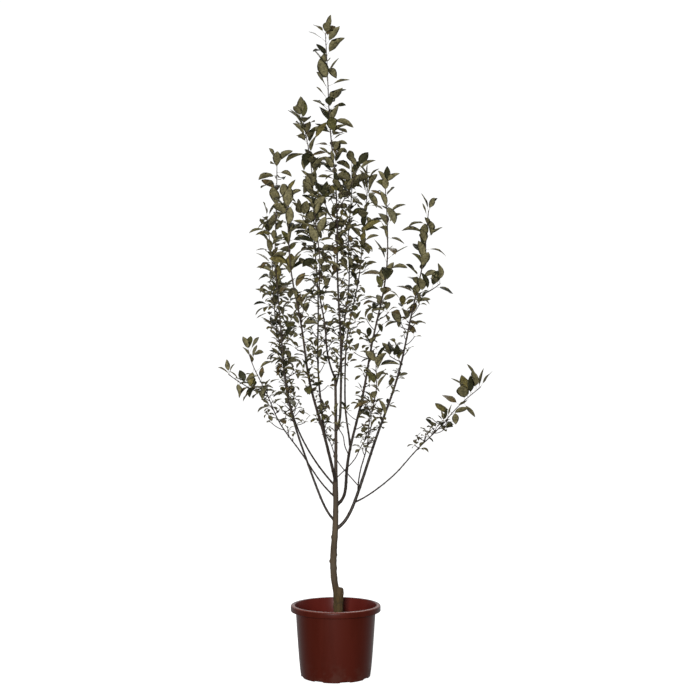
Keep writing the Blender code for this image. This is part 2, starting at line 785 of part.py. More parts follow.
def make_foliage(limb, lines, spaces, parts, around):
    """A limb's leafy shoot: its stem, side shoots, spurs and leaves, joined into one solid."""
    stem = lines[0]
    all_leafy = limb.name in ALL_LEAFY
    points = shortened(stem.points[::-1], at_start=0.0 if all_leafy else setback(limb))
    foliage = tube(limb.name + "_foliage", points, stem.radii[::-1], STEM_SIDES, parts, LEAF)
    if all_leafy:
        boolean(foliage, "DIFFERENCE", around[limb.parent])
        keep_largest_body(foliage)
    pieces = new_collection("pieces of " + limb.name)
    for line in lines[1:]:
        tube("side_shoot", line.points[::-1], line.radii[::-1], STEM_SIDES, pieces)
    spurs, leaves = grow(spaces, limb, lines)
    for foot, tip in spurs:
        new_object("spur", spur_mesh(foot, tip), pieces)
    for leaf in leaves:
        new_object("leaf", leaf_mesh(*leaf), pieces)
    boolean(foliage, "UNION", collection=pieces)
    for piece in list(pieces.objects):
        bpy.data.objects.remove(piece)
    bpy.data.collections.remove(pieces)
    keep_largest_body(foliage)
    foliage.data.materials.clear()
    foliage.data.materials.append(material(LEAF))
    print(limb.name, len(spurs), "spurs and", len(leaves), "leaves")


def main():
    clear_scene()
    parts = new_collection("potted crabapple tree")
    cutters = new_collection("cutters")
    make_pot(parts, cutters)
    make_potting_mix(parts)
    around = {}
    spaces = Spaces()
    lines = {}
    around["trunk"], trunk_line = make_trunk(parts, cutters)
    spaces.add_wood(*trunk_line)
    for limb in LIMBS:
        if limb.name not in ALL_LEAFY:
            spaces.add_wood(*make_bough(limb, parts, cutters, around))
        stem = Line(*leafy_stretch(limb))
        lines[limb.name] = [stem] + side_shoot_lines(limb)
        for line in lines[limb.name]:
            spaces.add_stem(limb.name, line.points, line.radii)
    spaces.settle()
    for limb in LIMBS:
        make_foliage(limb, lines[limb.name], spaces, parts, around)
    for obj in around.values():
        bpy.data.objects.remove(obj)
    for obj in parts.objects:
        obj.data.shade_smooth()
        obj.data.set_sharp_from_angle(angle=math.radians(SMOOTH_UP_TO))


main()
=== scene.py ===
"""The looks of a young crabapple tree in its nursery pot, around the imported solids.

All lengths are metres and all angles are degrees. The origin is the middle of the pot's underside,
+Z is up and the tree is seen from -Y. The limbs follow the same lines as the solids; bark, spurs,
leaves, stalks and buds then grow on them by a seeded rule.
"""

import json
import math
import random
from collections import namedtuple

import bpy
from mathutils import Matrix, Vector, noise
from mathutils.kdtree import KDTree

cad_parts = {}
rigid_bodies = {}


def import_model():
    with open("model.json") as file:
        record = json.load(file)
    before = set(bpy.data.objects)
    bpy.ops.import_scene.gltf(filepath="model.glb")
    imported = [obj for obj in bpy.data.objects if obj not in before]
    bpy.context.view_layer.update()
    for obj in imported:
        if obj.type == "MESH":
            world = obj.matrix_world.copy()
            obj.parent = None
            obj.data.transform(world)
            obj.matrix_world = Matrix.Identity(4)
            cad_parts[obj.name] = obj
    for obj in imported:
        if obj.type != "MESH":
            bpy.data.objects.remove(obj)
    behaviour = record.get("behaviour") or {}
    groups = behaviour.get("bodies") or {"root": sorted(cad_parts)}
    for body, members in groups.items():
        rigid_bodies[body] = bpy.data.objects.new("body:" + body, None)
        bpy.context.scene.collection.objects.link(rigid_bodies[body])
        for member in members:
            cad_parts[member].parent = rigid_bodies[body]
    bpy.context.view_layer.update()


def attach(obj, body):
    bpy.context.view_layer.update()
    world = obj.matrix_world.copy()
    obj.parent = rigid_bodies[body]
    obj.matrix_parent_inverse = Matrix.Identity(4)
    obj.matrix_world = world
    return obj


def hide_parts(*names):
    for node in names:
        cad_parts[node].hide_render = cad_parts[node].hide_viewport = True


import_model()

BODY = "root"

# The pot
RIM_RADIUS = 0.165
RIM_WIDTH = 0.015
RIM_ROUNDING = 0.0055
LIP_ROUNDING = 0.0035
EDGE_ROUNDING = 0.0012
RIM_FOOT = 0.2395
POT_HEIGHT = 0.261
SHOULDER_RADIUS = 0.1464
SHOULDER_HEIGHT = 0.2365
FOOT_RADIUS = 0.1275
FOOT_BEVEL = 0.004
# Below 1, this power makes the wall swell a little between foot and shoulder.
WALL_SWELL = 0.75
WALL_STEPS = 10
WALL = 0.0025
FLOOR = 0.003
POT_SIDES = 144
ROUNDING_STEPS = 5
BEVEL_STEPS = 4
EDGE_STEPS = 3
DRAINS = 8
DRAIN_WIDTH = 0.040
DRAIN_HEIGHT = 0.0068
DRAIN_DEPTH = 0.014
DRAIN_TURN = 16.0
DRAIN_SIDES = 28
# The floor is divided by a ring at this share of the foot's radius.
FLOOR_RING = 0.5
# Edges that turn by less than this many degrees are shaded smooth.
POT_SMOOTH_UNDER = 40
CHIP_SMOOTH_UNDER = 30

# The potting mix and the chips on it
MIX_TOP = 0.196
MIX_SINK = 0.004
MIX_GAP = 0.0006
MIX_RINGS = 46
MIX_SIDES = 120
MIX_LUMPS = 0.0035
# The lumps are a sum of noises, each with its scale, its layer and its share.
MIX_NOISES = ((38, 0.3, 0.6), (120, 4.1, 0.4))
# At the wall the mix lies lower, by this many times its sink.
MIX_EDGE_SINK = 1.5
TRUNK_FOOT = 0.030
CHIPS = 620
CHIP_LENGTHS = (0.005, 0.017)
# A chip's width and thickness are shares of its length.
CHIP_WIDTHS = (0.35, 0.75)
CHIP_THICKNESSES = (0.14, 0.30)
CHIP_CORNERS = 6
# Its lower and upper face: the level of each in thicknesses, and how wide it spreads
CHIP_FACES = ((-0.5, 0.85), (0.5, 1.0))
# How unevenly its corners reach out and stand above or below its middle, and the level of its top
CHIP_REACHES = (0.72, 1.08)
CHIP_UNEVENNESS = (0.7, 1.2)
CHIP_PEAKS = (0.45, 0.8)
# How it lies: the usual tilts about its length and its width, and its lift in thicknesses
CHIP_TILTS = (16, 14)
CHIP_LIFT = 0.25
# Chips stay this share of the longest one's length away from the wall.
CHIP_FROM_WALL = 0.6
# The finish of a chip, by its place in the list of chip tones, and how often it comes up
CHIP_KINDS = (0, 0, 1, 1, 2)

# The trunk: height, sideways and depth offsets of its centre, and its radius
TRUNK_STATIONS = (
    (0.262, 0.0070, 0.0000, 0.0118),
    (0.315, 0.0008, -0.0010, 0.0122),
    (0.360, -0.0060, -0.0020, 0.0122),
    (0.430, -0.0085, 0.0000, 0.0121),
    (0.545, -0.0015, 0.0020, 0.0110),
    (0.640, 0.0003, 0.0010, 0.0098),
    (0.690, -0.0012, 0.0000, 0.0102),
    (0.725, -0.0004, -0.0005, 0.0084),
    (0.765, 0.0004, -0.0010, 0.0064),
    (0.960, 0.0005, 0.0010, 0.0055),
    (1.107, -0.0018, 0.0000, 0.0044),
)
# The rootstock that the trunk is grafted on, with its flare and its sawn shoulder
ROOTSTOCK_STATIONS = (
    (0.190, 0.0090, 0.0000, 0.0270),
    (0.197, 0.0090, 0.0000, 0.0252),
    (0.208, 0.0090, 0.0000, 0.0205),
    (0.228, 0.0094, 0.0000, 0.0182),
    (0.285, 0.0104, 0.0000, 0.0180),
    (0.304, 0.0132, 0.0000, 0.0156),
    (0.318, 0.0162, 0.0000, 0.0120),
    (0.3225, 0.0170, 0.0000, 0.0080),
)

# A limb leaves its parent's centre line at a height, and the leaf at its end reaches the tip. It flares
# out by sweep, with lean as the share that rises straight. It may bow sideways low down, or nod sideways
# near the top, and crook is how far it swings out just above its foot. Above leafy_from it bears
# leaves, and young is this year's growth at its end.
Limb = namedtuple(
    "Limb",
    "name parent leaves_at tip radius leafy_from young sweep lean bow nod crook",
    defaults=(1, 0, 0, 0, 0),
)
LIMBS = (
    Limb("left", "trunk", 0.566, (-0.22, 0.09, 1.95), 0.0044, 0.96, 0.5, 3.4, bow=-0.011, crook=-0.008),
    Limb("left_back", "trunk", 0.696, (-0.272, 0.270, 1.762), 0.0034, 0.96, 0.24, 6.0, 0.42, bow=-0.006),
    Limb(
        "left_low", "trunk", 0.654, (-0.313, -0.22, 1.244), 0.003, 0.92, 0.16, 1.4,
        bow=-0.008, crook=-0.004,
    ),
    Limb("left_front", "trunk", 0.708, (-0.169, -0.290, 1.770), 0.0058, 0.94, 0.38, 2.0, bow=0.012),
    Limb("back_left", "left_front", 0.823, (-0.143, 0.240, 2.151), 0.0038, 0.93, 0.38, bow=-0.018, nod=0.034),
    Limb("front", "trunk", 1.090, (-0.071, -0.320, 1.725), 0.0036, 1.21, 0.22, 8.0, lean=0.6),
    Limb("leader", "trunk", 0.900, (-0.043, 0.020, 2.422), 0.0047, 1.13, 0.55, bow=0.027, crook=0.006),
    Limb("back", "trunk", 1.060, (0.061, 0.300, 1.972), 0.0034, 1.17, 0.26, 5.0, lean=0.6, bow=0.006),
    Limb(
        "right_front", "trunk", 0.624, (0.167, -0.270, 1.832), 0.0057, 0.95, 0.43, 1.45,
        bow=0.004, nod=0.036, crook=0.022,
    ),
    Limb(
        "right_back", "right_front", 0.848, (0.122, 0.340, 1.914), 0.0036, 1.15, 0.30,
        bow=-0.046, nod=0.024, crook=0.010,
    ),
    Limb(
        "right", "trunk", 0.538, (0.352, 0.100, 1.774), 0.0060, 0.97, 0.36, 0.95,
        bow=0.054, nod=0.032, crook=0.0105,
    ),
    Limb(
        "right_inner", "right", 0.676, (0.144, -0.22, 1.202), 0.0025, 0.86, 0.16, 2.4,
        bow=-0.015, nod=0.008,
    ),
    Limb(
        "right_low", "right", 0.636, (0.596, 0.160, 1.095), 0.0029, 0.81, 0.20,
        bow=0.033, nod=-0.022, crook=0.007,
    ),
    Limb("inner_left", "right", 0.690, (-0.055, 0.090, 1.020), 0.0020, 0.86, 0.06, 2.4),
    Limb("inner_middle", "right_front", 0.812, (-0.025, -0.085, 1.020), 0.0020, 0.92, 0.06),
    Limb("inner_right", "trunk", 0.722, (0.138, 0.090, 1.000), 0.0020, 0.87, 0.06, 2.35),
)
# The inner twigs are too thin to be boughs, so each is a leafy shoot from its parent on.
ALL_LEAFY = ("inner_left", "inner_middle", "inner_right")
# Long side shoots in a limb's leafy part: the limb, the height they leave it, and their tip
SIDE_SHOOTS = (
    ("right", 1.388, (0.435, 0.010, 1.485)),
    ("right", 1.150, (0.150, 0.040, 1.225)),
    ("right", 1.270, (0.190, 0.050, 1.330)),
    ("left_low", 1.030, (-0.420, -0.270, 1.150)),
    ("leader", 1.700, (0.105, -0.070, 1.915)),
    ("leader", 1.640, (-0.070, 0.080, 1.820)),
    ("back_left", 1.590, (-0.150, 0.080, 1.760)),
)
SIDE_SHOOT_SAG = 0.012
SIDE_SHOOT_RADIUS = 0.0019
SIDE_SHOOT_YOUNG = 0.11
WANDER = 0.005
WANDER_SHIFT = 2.0
WANDER_TURNS = (15.0, 11.0)
BOW_POWER = 0.6
NOD_POWER = 1.8
# A crook is fullest at this height above the limb's foot.
CROOK_RISE = 0.050
SHOOT_TIP_RADIUS = 0.0012
END_LEAF_REACH = 0.063

# Wood: ring spacing and sides, and the swelling where each bud or leaf was
TRUNK_STEP = 0.0026
TRUNK_SIDES = 40
BOUGH_STEP = 0.0035
BOUGH_SIDES = 16
STEM_STEP = 0.0065
STEM_SIDES = 8
TWIG_STEP = 0.006
TWIG_SIDES = 6
COLLAR = 0.45
COLLAR_REACH = 0.011
KNOT_STEP = 0.026
KNOT_LENGTH = 0.0032
KNOT_SPREAD = 42
BOUGH_KNOT = 0.0008
STEM_KNOT = 0.0005
# As shares of a knot's height: the ring it forms round the rod, and the lumps between the knots
KNOT_RING = 0.35
KNOT_LUMPS = 0.35
KNOT_LUMP_SCALE = 160
# Old pruning knuckles on the trunk: height, azimuth, and how far they stand out
KNUCKLES = (
    (0.4205, 185, 0.0030),
    (0.509, 178, 0.0022),
    (0.4425, 5, 0.0020),
    (0.395, -8, 0.0018),
    (0.470, 260, 0.0024),
    (0.358, 100, 0.0022),
    (0.600, 95, 0.0020),
    (0.545, 290, 0.0018),
    (0.668, 200, 0.0016),
    (0.806, 190, 0.0030),
)
KNUCKLE_LENGTH = 0.0055
KNUCKLE_SPREAD = 30
# Each also forms a ring round the trunk, this share as high.
KNUCKLE_RING = 0.25
# The trunk's relief is a sum of noises: the scale of each along x, y and z, its height, and how much
# higher it is low down on the rootstock.
BARK_NOISES = (
    ((150, 150, 28), 0.00035, 0.0011),
    ((70, 70, 70), 0.0005, 0.0009),
    ((260, 260, 260), 0.00022, 0.0),
)
ROUGH_BELOW = 0.335
ROUGH_FADE = 0.03

# The rule of growth. Young wood bears single leaves, older wood bears spurs with a tuft of leaves.
GOLDEN_TURN = 137.5
RETRY_TURN = 47.0
TURNS = (-22, 22)
STEPS = (0.8, 1.2)
YOUNG_STEP = 0.0142
YOUNG_STEP_AT_END = 0.0098
# On some shoots the young leaves stand closer, by this share, and on one only from this far down.
CROWDED = {"back_left": 0.55, "left": 0.78, "back": 0.72, "right_back": 0.75, "left_back": 0.80}
CROWDED_BELOW = {"leader": (0.24, 0.60)}
SPUR_STEP = 0.0155
# Going down a limb its spurs stand further apart and their leaves are smaller.
SPUR_STEP_BELOW = 0.0285
SPUR_RISES = (15, 55)
# Along a limb the spurs come in clumps about this long, fuller or thinner by up to this share.
CLUMP_LENGTH = 0.050
CLUMPING = 0.9
TUFT_SIZE_ABOVE = 1.22
TUFT_SIZE_BELOW = 0.70
# A spur's length and the number of its leaves are drawn from these.
SPUR_REACHES = (0.007, 0.010, 0.015, 0.022, 0.034, 0.052)
TUFT_COUNTS = (2, 3, 4, 5, 6, 8)
TUFT_RISES = (-28, 72)
TUFT_ARCHES = (10, 65)
TUFT_FOLDS = (8, 32)
TUFT_ROLLS = (-28, 28)
TUFT_SPREAD = 62
# The leaves of a tuft are rooted along this share of the spur, from its tip down.
TUFT_ALONG = 0.12
BROAD_TUFT_SHARE = 0.12
BROAD_TUFT_SIZE = 1.35
INNER_BARE_SHARE = 0.55
INNER_LEAF_SIZE = 0.62
SHOOT_FOOT = 0.012
YOUNG_LEAF = (0.047, 0.079)
TUFT_LEAF = (0.013, 0.044)
STALKS = (0.013, 0.021)
FILLING_OUT = 0.08
# In the lowest part of the young wood, past this share of it, the leaves grow smaller by up to this.
FULL_SIZE_TO = 0.66
SHRINKING = 0.34
# How a young leaf is held, and how often: its rise from level and its arch, each as a range
LEAF_POSES = (
    ((15, 60), (5, 60), 11),
    ((-20, 30), (25, 70), 5),
    ((55, 82), (0, 30), 4),
    ((-75, -40), (0, 30), 1),
)
YOUNG_FOLDS = (10, 40)
YOUNG_ROLLS = (-35, 35)
# The leaves at a shoot's tip: how they are held, and how far apart round the shoot
END_LEAVES = 2
END_POSES = ((40, 82), (15, 60))
END_FOLD = 25
END_ROLLS = (-60, 60)
END_TURN = 150
# The first leaf below them, in steps from the tip, and how much more the leaves near the tip rise
FIRST_STEP = 0.6
RISE_AT_END = 15
# A leaf's root sits at this share of the wood's radius.
ROOT_SHARE = 0.6
NEW_SPRAY_SHARE = 0.25
# The steps between leaves shrink by this power of what the leaves do.
STEP_SHRINKING = 1.5
# A limb's habit: the size of its young leaves and of those at its end, the size of its tufts, how far
# apart its spurs stand, how far the leaves turn up where a shoot leans right over, how much of their
# arch and fold they have, and how far below the leafy part the lowest spurs stand, on the bare bough
Habit = namedtuple(
    "Habit",
    "leaf_size end_size tuft_size spurs_apart lift bend spurs_below",
    defaults=(1, 0.92, 1, 1, 70, 0.8, 0.065),
)
HABITS = {
    "left_low": Habit(0.70, 1.0, 0.90, 0.80, 5, 0.6),
    "right_low": Habit(1.02, 1.10, 0.80, 0.55, 40, 0.3, 0.0),
    "leader": Habit(1.04, 0.88, bend=0.6),
    "back_left": Habit(1.06, 1.0),
    "left": Habit(tuft_size=1.15, spurs_apart=0.72),
    "left_back": Habit(spurs_apart=0.80),
    "left_front": Habit(spurs_apart=0.90),
    "front": Habit(spurs_apart=1.30),
    "back": Habit(spurs_apart=1.20),
    "right_front": Habit(spurs_apart=1.20),
    "right": Habit(tuft_size=0.85, spurs_apart=1.50),
}
# A leaf or spur is tried at up to this many turns about its foot, until it is in free air.
TRIES = 9
WOOD_MARGIN = 0.0045
# Leaves keep this far apart, and those shorter than this may stand closer in proportion.
LEAF_GAP = 0.0075
GAP_LEAF = 0.045
# The air is sorted into cells, which are no smaller than the gap.
CELL = 0.0075
# A spur's tip needs this share of the gap.
SPUR_GAP_SHARE = 0.6

# Spurs: those longer than a short one are thinner.
SHORT_SPUR = 0.03
SPUR_RADIUS = 0.0017
LONG_SPUR_RADIUS = 0.0014
# The thickness at a spur's foot, what it loses up to the tip and what every second ring adds, as shares
SPUR_SWELLING = 1.15
SPUR_TAPER = 0.2
SPUR_RING = 0.14
SPUR_RING_STEP = 0.0035
# How far its middle sags, as a share of its length
SPUR_SAG = 0.08

# Buds. The shape gives shares of the length, each with the thickness there.
BUD_LENGTH = 0.0045
BUD_RADIUS = 0.0013
BUD_SHAPE = ((0.0, 0.5), (0.35, 1.0), (0.7, 0.75), (1.0, 0.08))
BUD_SIDES = 5
# The rise and size of the bud at a shoot's tip, and of one beside a leaf
END_BUD = (84, 1.0)
SIDE_BUD = (62, 0.8)
# The bud on a spur turns up from the spur's own rise.
SPUR_BUD_SIZE = 1.1
SPUR_BUD_TURNS = (0, 25)

# One leaf: how it is divided, and its outline
LEAF_STATIONS = (0.0, 0.10, 0.27, 0.46, 0.66, 0.85, 1.0)
LEAF_ACROSS = (-1.0, -0.5, 0.0, 0.5, 1.0)
WIDEST_POWER = 0.88
ROUNDNESS = 0.86
LEAF_WIDTHS = (0.46, 0.66)
LEAF_THICKNESS = 0.0005
LEAF_TWISTS = (-35, 35)
# How much its edges wave, and the turns of the wave along and across it
LEAF_WAVES = (0.0, 0.10)
WAVE_ALONG = 9
WAVE_ACROSS = 2.1
# Its place in the air is tested at these stations, and this far out to its edges.
TESTED_STATIONS = (2, 3, 4, 5)
TESTED_WIDTH = 0.8
STALK_RADIUS = 0.00055
# A stalk's thickness from foot to blade, its sides, and how much it arches
STALK_SHAPE = (1.5, 1.0, 0.9)
STALK_SIDES = 3
STALK_ARCH = 8

# Leaf tints, as base colours, and how often a spray takes each
LEAF_TINTS = {
    "olive": ((0.110, 0.092, 0.030), 5),
    "green": ((0.070, 0.066, 0.022), 4),
    "dark": ((0.025, 0.025, 0.011), 6),
    "grey": ((0.122, 0.111, 0.060), 3),
    "brown": ((0.104, 0.075, 0.031), 3),
}
UNDER_TINT = (0.124, 0.110, 0.055)
# The darkest and brightest parts of a leaf, as shares of its tint
LEAF_MOTTLE = (0.58, 1.38)
LEAF_ROUGHNESS = 0.42
UNDER_ROUGHNESS = 0.60
TUFT_SHADE = 0.78
# This share of the leaves takes a tint of its own instead of its spray's.
STRAY_SHARE = 0.45

# The other base colours. A pair is the two tones of one surface.
PLASTIC_OUTSIDE = ((0.044, 0.0050, 0.0018), (0.052, 0.0064, 0.0028))
# The inside of the pot is a lighter red than the outside: painted light for the brighter inner wall.
PLASTIC_INSIDE_PAINTED_LIGHTER = ((0.070, 0.0080, 0.0052), (0.081, 0.0098, 0.0064))
SCUFFED_RED = (0.10, 0.032, 0.024)
DUSTY_RED = (0.072, 0.036, 0.025)
# A paler red along the front of the lip: a painted highlight standing in for the reflection there.
LIP_HIGHLIGHT_RED = (0.170, 0.055, 0.042)
# The painted highlight on the front of the lip starts this far below the pot's top, and is full from nearer.
LIP_HIGHLIGHT_EDGE = (0.0035, 0.0012)
# Between these places along Y the painted highlight fades out to the back, and between these heights the dust
# upwards.
LIP_HIGHLIGHT_FRONT = (-0.02, 0.04)
DUST_HEIGHTS = (0.004, 0.10)
COMPOST = ((0.012, 0.008, 0.006), (0.052, 0.033, 0.021))
COMPOST_FLECKS = (0.105, 0.070, 0.042)
CHIP_TONES = {
    "chip_dark": ((0.020, 0.012, 0.008), (0.050, 0.030, 0.019)),
    "chip_brown": ((0.055, 0.031, 0.018), (0.105, 0.062, 0.036)),
    "chip_pale": ((0.100, 0.066, 0.040), (0.170, 0.120, 0.078)),
}
# Heights between which the rootstock's bark gives way to the trunk's, and that to younger bark
ROOTSTOCK_ENDS = (0.30, 0.37)
YOUNGER_BARK = (0.52, 0.68)
TRUNK_BARK = ((0.036, 0.025, 0.016), (0.080, 0.059, 0.037))
TRUNK_PATCHES = (0.062, 0.052, 0.039)
TRUNK_HIGH_UP = (0.036, 0.026, 0.019)
TRUNK_PORES = (0.15, 0.122, 0.085)
ROOTSTOCK_BARK = ((0.069, 0.039, 0.013), (0.053, 0.035, 0.010))
ROOTSTOCK_CRACKS = (0.022, 0.016, 0.010)
BOUGH_BARK = ((0.014, 0.010, 0.007), (0.032, 0.023, 0.017))
SHOOT_BARK = ((0.018, 0.011, 0.008), (0.038, 0.025, 0.017))
BOUGH_FILM = (0.044, 0.037, 0.031)
BOUGH_PORES = (0.11, 0.088, 0.065)
BUD_SCALES = ((0.060, 0.024, 0.016), (0.100, 0.050, 0.030))
STALK_GREEN = ((0.075, 0.055, 0.026), (0.115, 0.100, 0.046))
FLOOR_GREY = ((0.50, 0.50, 0.50), (0.52, 0.52, 0.52))

# Camera and light
CAMERA_PLACE = (0.0525, -5.19, 1.195)
CAMERA_LENS = 72.72
SENSOR = 36.0
FLOOR_SIZE = 60.0
FLOOR_DROP = 0.0005
FLOOR_GLOW = 0.88
# The light of the surroundings is dim at the sides, and brightest from the backdrop.
SKY_SEEN = 1.05
SIDE_LIGHT = 0.22
EVEN_LIGHT = 0.34
BACK_LIGHT = 0.40
HIGH_BACK_LIGHT = 0.78
# The ranges of a direction's x, y or z over which the light changes
TO_THE_SIDES = (0.30, 0.95)
OFF_LEVEL = (0.22, 0.50)
TO_THE_BACK = (-0.10, 0.50)
UP_THE_BACKDROP = (-0.05, 0.10)
# The place, size and power of each light, and where they are aimed
LIGHTS = {
    "key": ((-0.45, -4.9, 1.5), 0.9, 300.0),
    "fill": ((0.6, 4.4, 4.2), 2.4, 130.0),
}
LIGHTS_AIM = (0.0, 0.0, 1.2)


class Value:
    """A number or a colour that changes over a surface. Sums on a number add Math nodes."""

    def __init__(self, finish, socket):
        self.finish = finish
        self.socket = socket

    def math(self, operation, *others):
        values = dict(enumerate((self, *others)))
        return self.finish.node("ShaderNodeMath", {"operation": operation}, values)

    def __add__(self, other):
        return self.math("ADD", other)

    def __sub__(self, other):
        return self.math("SUBTRACT", other)

    def __rsub__(self, other):
        return self.finish.node("ShaderNodeMath", {"operation": "SUBTRACT"}, {0: other, 1: self})

    def __mul__(self, other):
        return self.math("MULTIPLY", other)

    __radd__ = __add__
    __rmul__ = __mul__

    def between(self, low, high):
        """0 below low, 1 above high, and a smooth rise between them."""
        return self.finish.node(
            "ShaderNodeMapRange",
            {"interpolation_type": "SMOOTHSTEP"},
            {"Value": self, "From Min": low, "From Max": high},
        )


class Nodes:
    """A tree of nodes, with one method that adds any of them."""

    def __init__(self, tree):
        self.tree = tree

    def node(self, kind, settings, sockets, output=0):
        made = self.tree.nodes.new(kind)
        for name, value in settings.items():
            setattr(made, name, value)
        self.feed(made, sockets)
        return Value(self, made.outputs[output])

    def feed(self, made, sockets):
        """Links each socket of a node to its Value, or sets it to its plain number or colour."""
        for name, value in sockets.items():
            if isinstance(value, Value):
                self.tree.links.new(value.socket, made.inputs[name])
            else:
                made.inputs[name].default_value = value


class Sky(Nodes):
    """The surroundings, whose light changes with the way one looks."""

    def way(self, axis):
        """The way one looks, along one axis."""
        place = self.node("ShaderNodeTexCoord", {}, {}, "Generated")
        return self.node("ShaderNodeSeparateXYZ", {}, {"Vector": place}, axis)


class Finish(Nodes):
    """A material under construction."""

    def __init__(self, name, **constants):
        self.material = bpy.data.materials.new(name)
        self.material.use_nodes = True
        super().__init__(self.material.node_tree)
        self.shader = self.tree.nodes["Principled BSDF"]
        self.feed(self.shader, {name.replace("_", " "): value for name, value in constants.items()})
        self.place = self.node("ShaderNodeTexCoord", {}, {}, "Object")

    def stretched(self, scale):
        """The surface's place, with a pattern drawn out along the axes that have a low scale."""
        return self.node("ShaderNodeMapping", {}, {"Vector": self.place, "Scale": scale})

    def noise(self, scale, detail, roughness=0.55, place=None):
        sockets = {"Vector": place or self.place, "Scale": scale, "Detail": detail, "Roughness": roughness}
        return self.node("ShaderNodeTexNoise", {}, sockets)

    def cells(self, scale, place=None, feature="F1"):
        sockets = {"Vector": place or self.place, "Scale": scale}
        return self.node("ShaderNodeTexVoronoi", {"feature": feature}, sockets)

    def place_along(self, axis):
        return self.node("ShaderNodeSeparateXYZ", {}, {"Vector": self.place}, axis)

    def mix(self, share, first, second):
        """The first colour turning into the second by share."""
        first, second = ((*c, 1.0) if isinstance(c, tuple) else c for c in (first, second))
        return self.node("ShaderNodeMix", {"data_type": "RGBA"}, {0: share, 6: first, 7: second}, 2)

    def done(self, colour, roughness, relief=None, strength=1.0, depth=0.001):
        """Feeds the shader what changes over the surface, and gives the material."""
        self.feed(self.shader, {"Base Color": colour, "Roughness": roughness})
        if relief is not None:
            sockets = {"Strength": strength, "Distance": depth, "Height": relief}
            bump = self.node("ShaderNodeBump", {}, sockets, "Normal")
            self.feed(self.shader, {"Normal": bump})
        return self.material


def pot_finish(name, dark, pale):
    """Dark brick-red moulded plastic: faint flow marks, fine scuffs, dust at the foot, and a painted
    highlight along the front of the lip.
    """
    made = Finish(name, Specular_IOR_Level=0.12)
    flow = made.noise(3.0, 3.0, place=made.stretched((7.0, 7.0, 1.2)))
    cloud = made.noise(9.0, 4.0)
    scuffs = made.noise(90.0, 5.0, 0.7, made.stretched((1.0, 1.0, 5.0))).between(0.60, 0.74)
    low = 1.0 - made.place_along("Z").between(*DUST_HEIGHTS)
    dust = low * made.noise(26.0, 5.0, 0.65).between(0.42, 0.66)
    red = made.mix(flow.between(0.35, 0.65), dark, pale)
    red = made.mix(scuffs * 0.20, red, SCUFFED_RED)
    red = made.mix(dust * 0.25, red, DUSTY_RED)
    # The paler front of the lip is a painted highlight, fading out towards the back.
    front = 1.0 - made.place_along("Y").between(*LIP_HIGHLIGHT_FRONT)
    lip_highlight = front * made.place_along("Z").between(*(POT_HEIGHT - depth for depth in LIP_HIGHLIGHT_EDGE))
    red = made.mix(lip_highlight * 0.9, red, LIP_HIGHLIGHT_RED)
    grain = made.noise(700.0, 2.0) * 0.3 + scuffs * 0.25 + flow
    return made.done(red, cloud * 0.08 + scuffs * 0.15 + dust * 0.2 + 0.32, grain, 0.15, 0.0006)


def mix_finish():
    """Dark, moist bark compost."""
    made = Finish("potting_mix", Specular_IOR_Level=0.25)
    lumps = made.noise(60.0, 6.0, 0.65)
    flecks = made.cells(260.0)
    brown = made.mix(lumps.between(0.35, 0.68), *COMPOST)
    brown = made.mix((1.0 - flecks.between(0.10, 0.32)) * 0.35, brown, COMPOST_FLECKS)
    return made.done(brown, 0.94, lumps * 0.7 + flecks * 0.5, 0.9, 0.003)


def chip_finish(name, dark, pale):
    """A chip of bark, with its fibres."""
    made = Finish(name, Specular_IOR_Level=0.25)
    fibres = made.noise(320.0, 4.0, 0.6)
    return made.done(made.mix(fibres.between(0.35, 0.65), dark, pale), 0.88, fibres, 0.7, 0.001)


def trunk_finish():
    """Smooth grey-brown bark with pale lenticels, rougher, cracked and mossy on the rootstock."""
    made = Finish("trunk_bark", Specular_IOR_Level=0.2)
    streaks = made.noise(55.0, 5.0, 0.6, made.stretched((1.0, 1.0, 0.16)))
    patches = made.noise(20.0, 4.0, 0.6)
    pores = 1.0 - made.cells(210.0, made.stretched((0.55, 0.55, 1.5))).between(0.12, 0.26)
    pores = pores * made.noise(75.0, 2.0).between(0.50, 0.60)
    cracks = made.cells(85.0, made.stretched((1.0, 1.0, 0.3)), "DISTANCE_TO_EDGE").between(0.0, 0.10)
    height = made.place_along("Z")
    low = 1.0 - (height + patches * 0.05).between(*ROOTSTOCK_ENDS)
    up = height.between(*YOUNGER_BARK)
    bark = made.mix(streaks.between(0.35, 0.66), *TRUNK_BARK)
    bark = made.mix(patches.between(0.50, 0.72) * 0.6, bark, TRUNK_PATCHES)
    bark = made.mix(up * 0.65, bark, TRUNK_HIGH_UP)
    mossy = made.mix(patches.between(0.38, 0.62), *ROOTSTOCK_BARK)
    bark = made.mix(low * 0.85, bark, mossy)
    bark = made.mix(low * (1.0 - cracks) * 0.55, bark, ROOTSTOCK_CRACKS)
    bark = made.mix(pores * 0.50, bark, TRUNK_PORES)
    relief = streaks * 0.5 + patches * 0.4 + pores * 0.5 + low * cracks * 0.9
    return made.done(bark, 0.92 - pores * 0.1 - up * 0.2, relief, 0.8, 0.0012)


def bough_finish(name, dark, pale, pore_share):
    """Younger bark: thin, slightly glossy and reddish, with small pale lenticels and a grey film."""
    made = Finish(name, Specular_IOR_Level=0.22)
    streaks = made.noise(70.0, 4.0, 0.6, made.stretched((1.0, 1.0, 0.22)))
    film = made.noise(24.0, 4.0, 0.6).between(0.48, 0.70)
    pores = 1.0 - made.cells(330.0, made.stretched((0.6, 0.6, 1.4))).between(0.12, 0.26)
    pores = pores * made.noise(110.0, 2.0).between(0.50, 0.60)
    bark = made.mix(streaks.between(0.36, 0.66), dark, pale)
    bark = made.mix(film * 0.3, bark, BOUGH_FILM)
    bark = made.mix(pores * pore_share, bark, BOUGH_PORES)
    return made.done(bark, film * 0.2 + 0.50, streaks * 0.5 + pores * 0.7, 0.6, 0.0006)


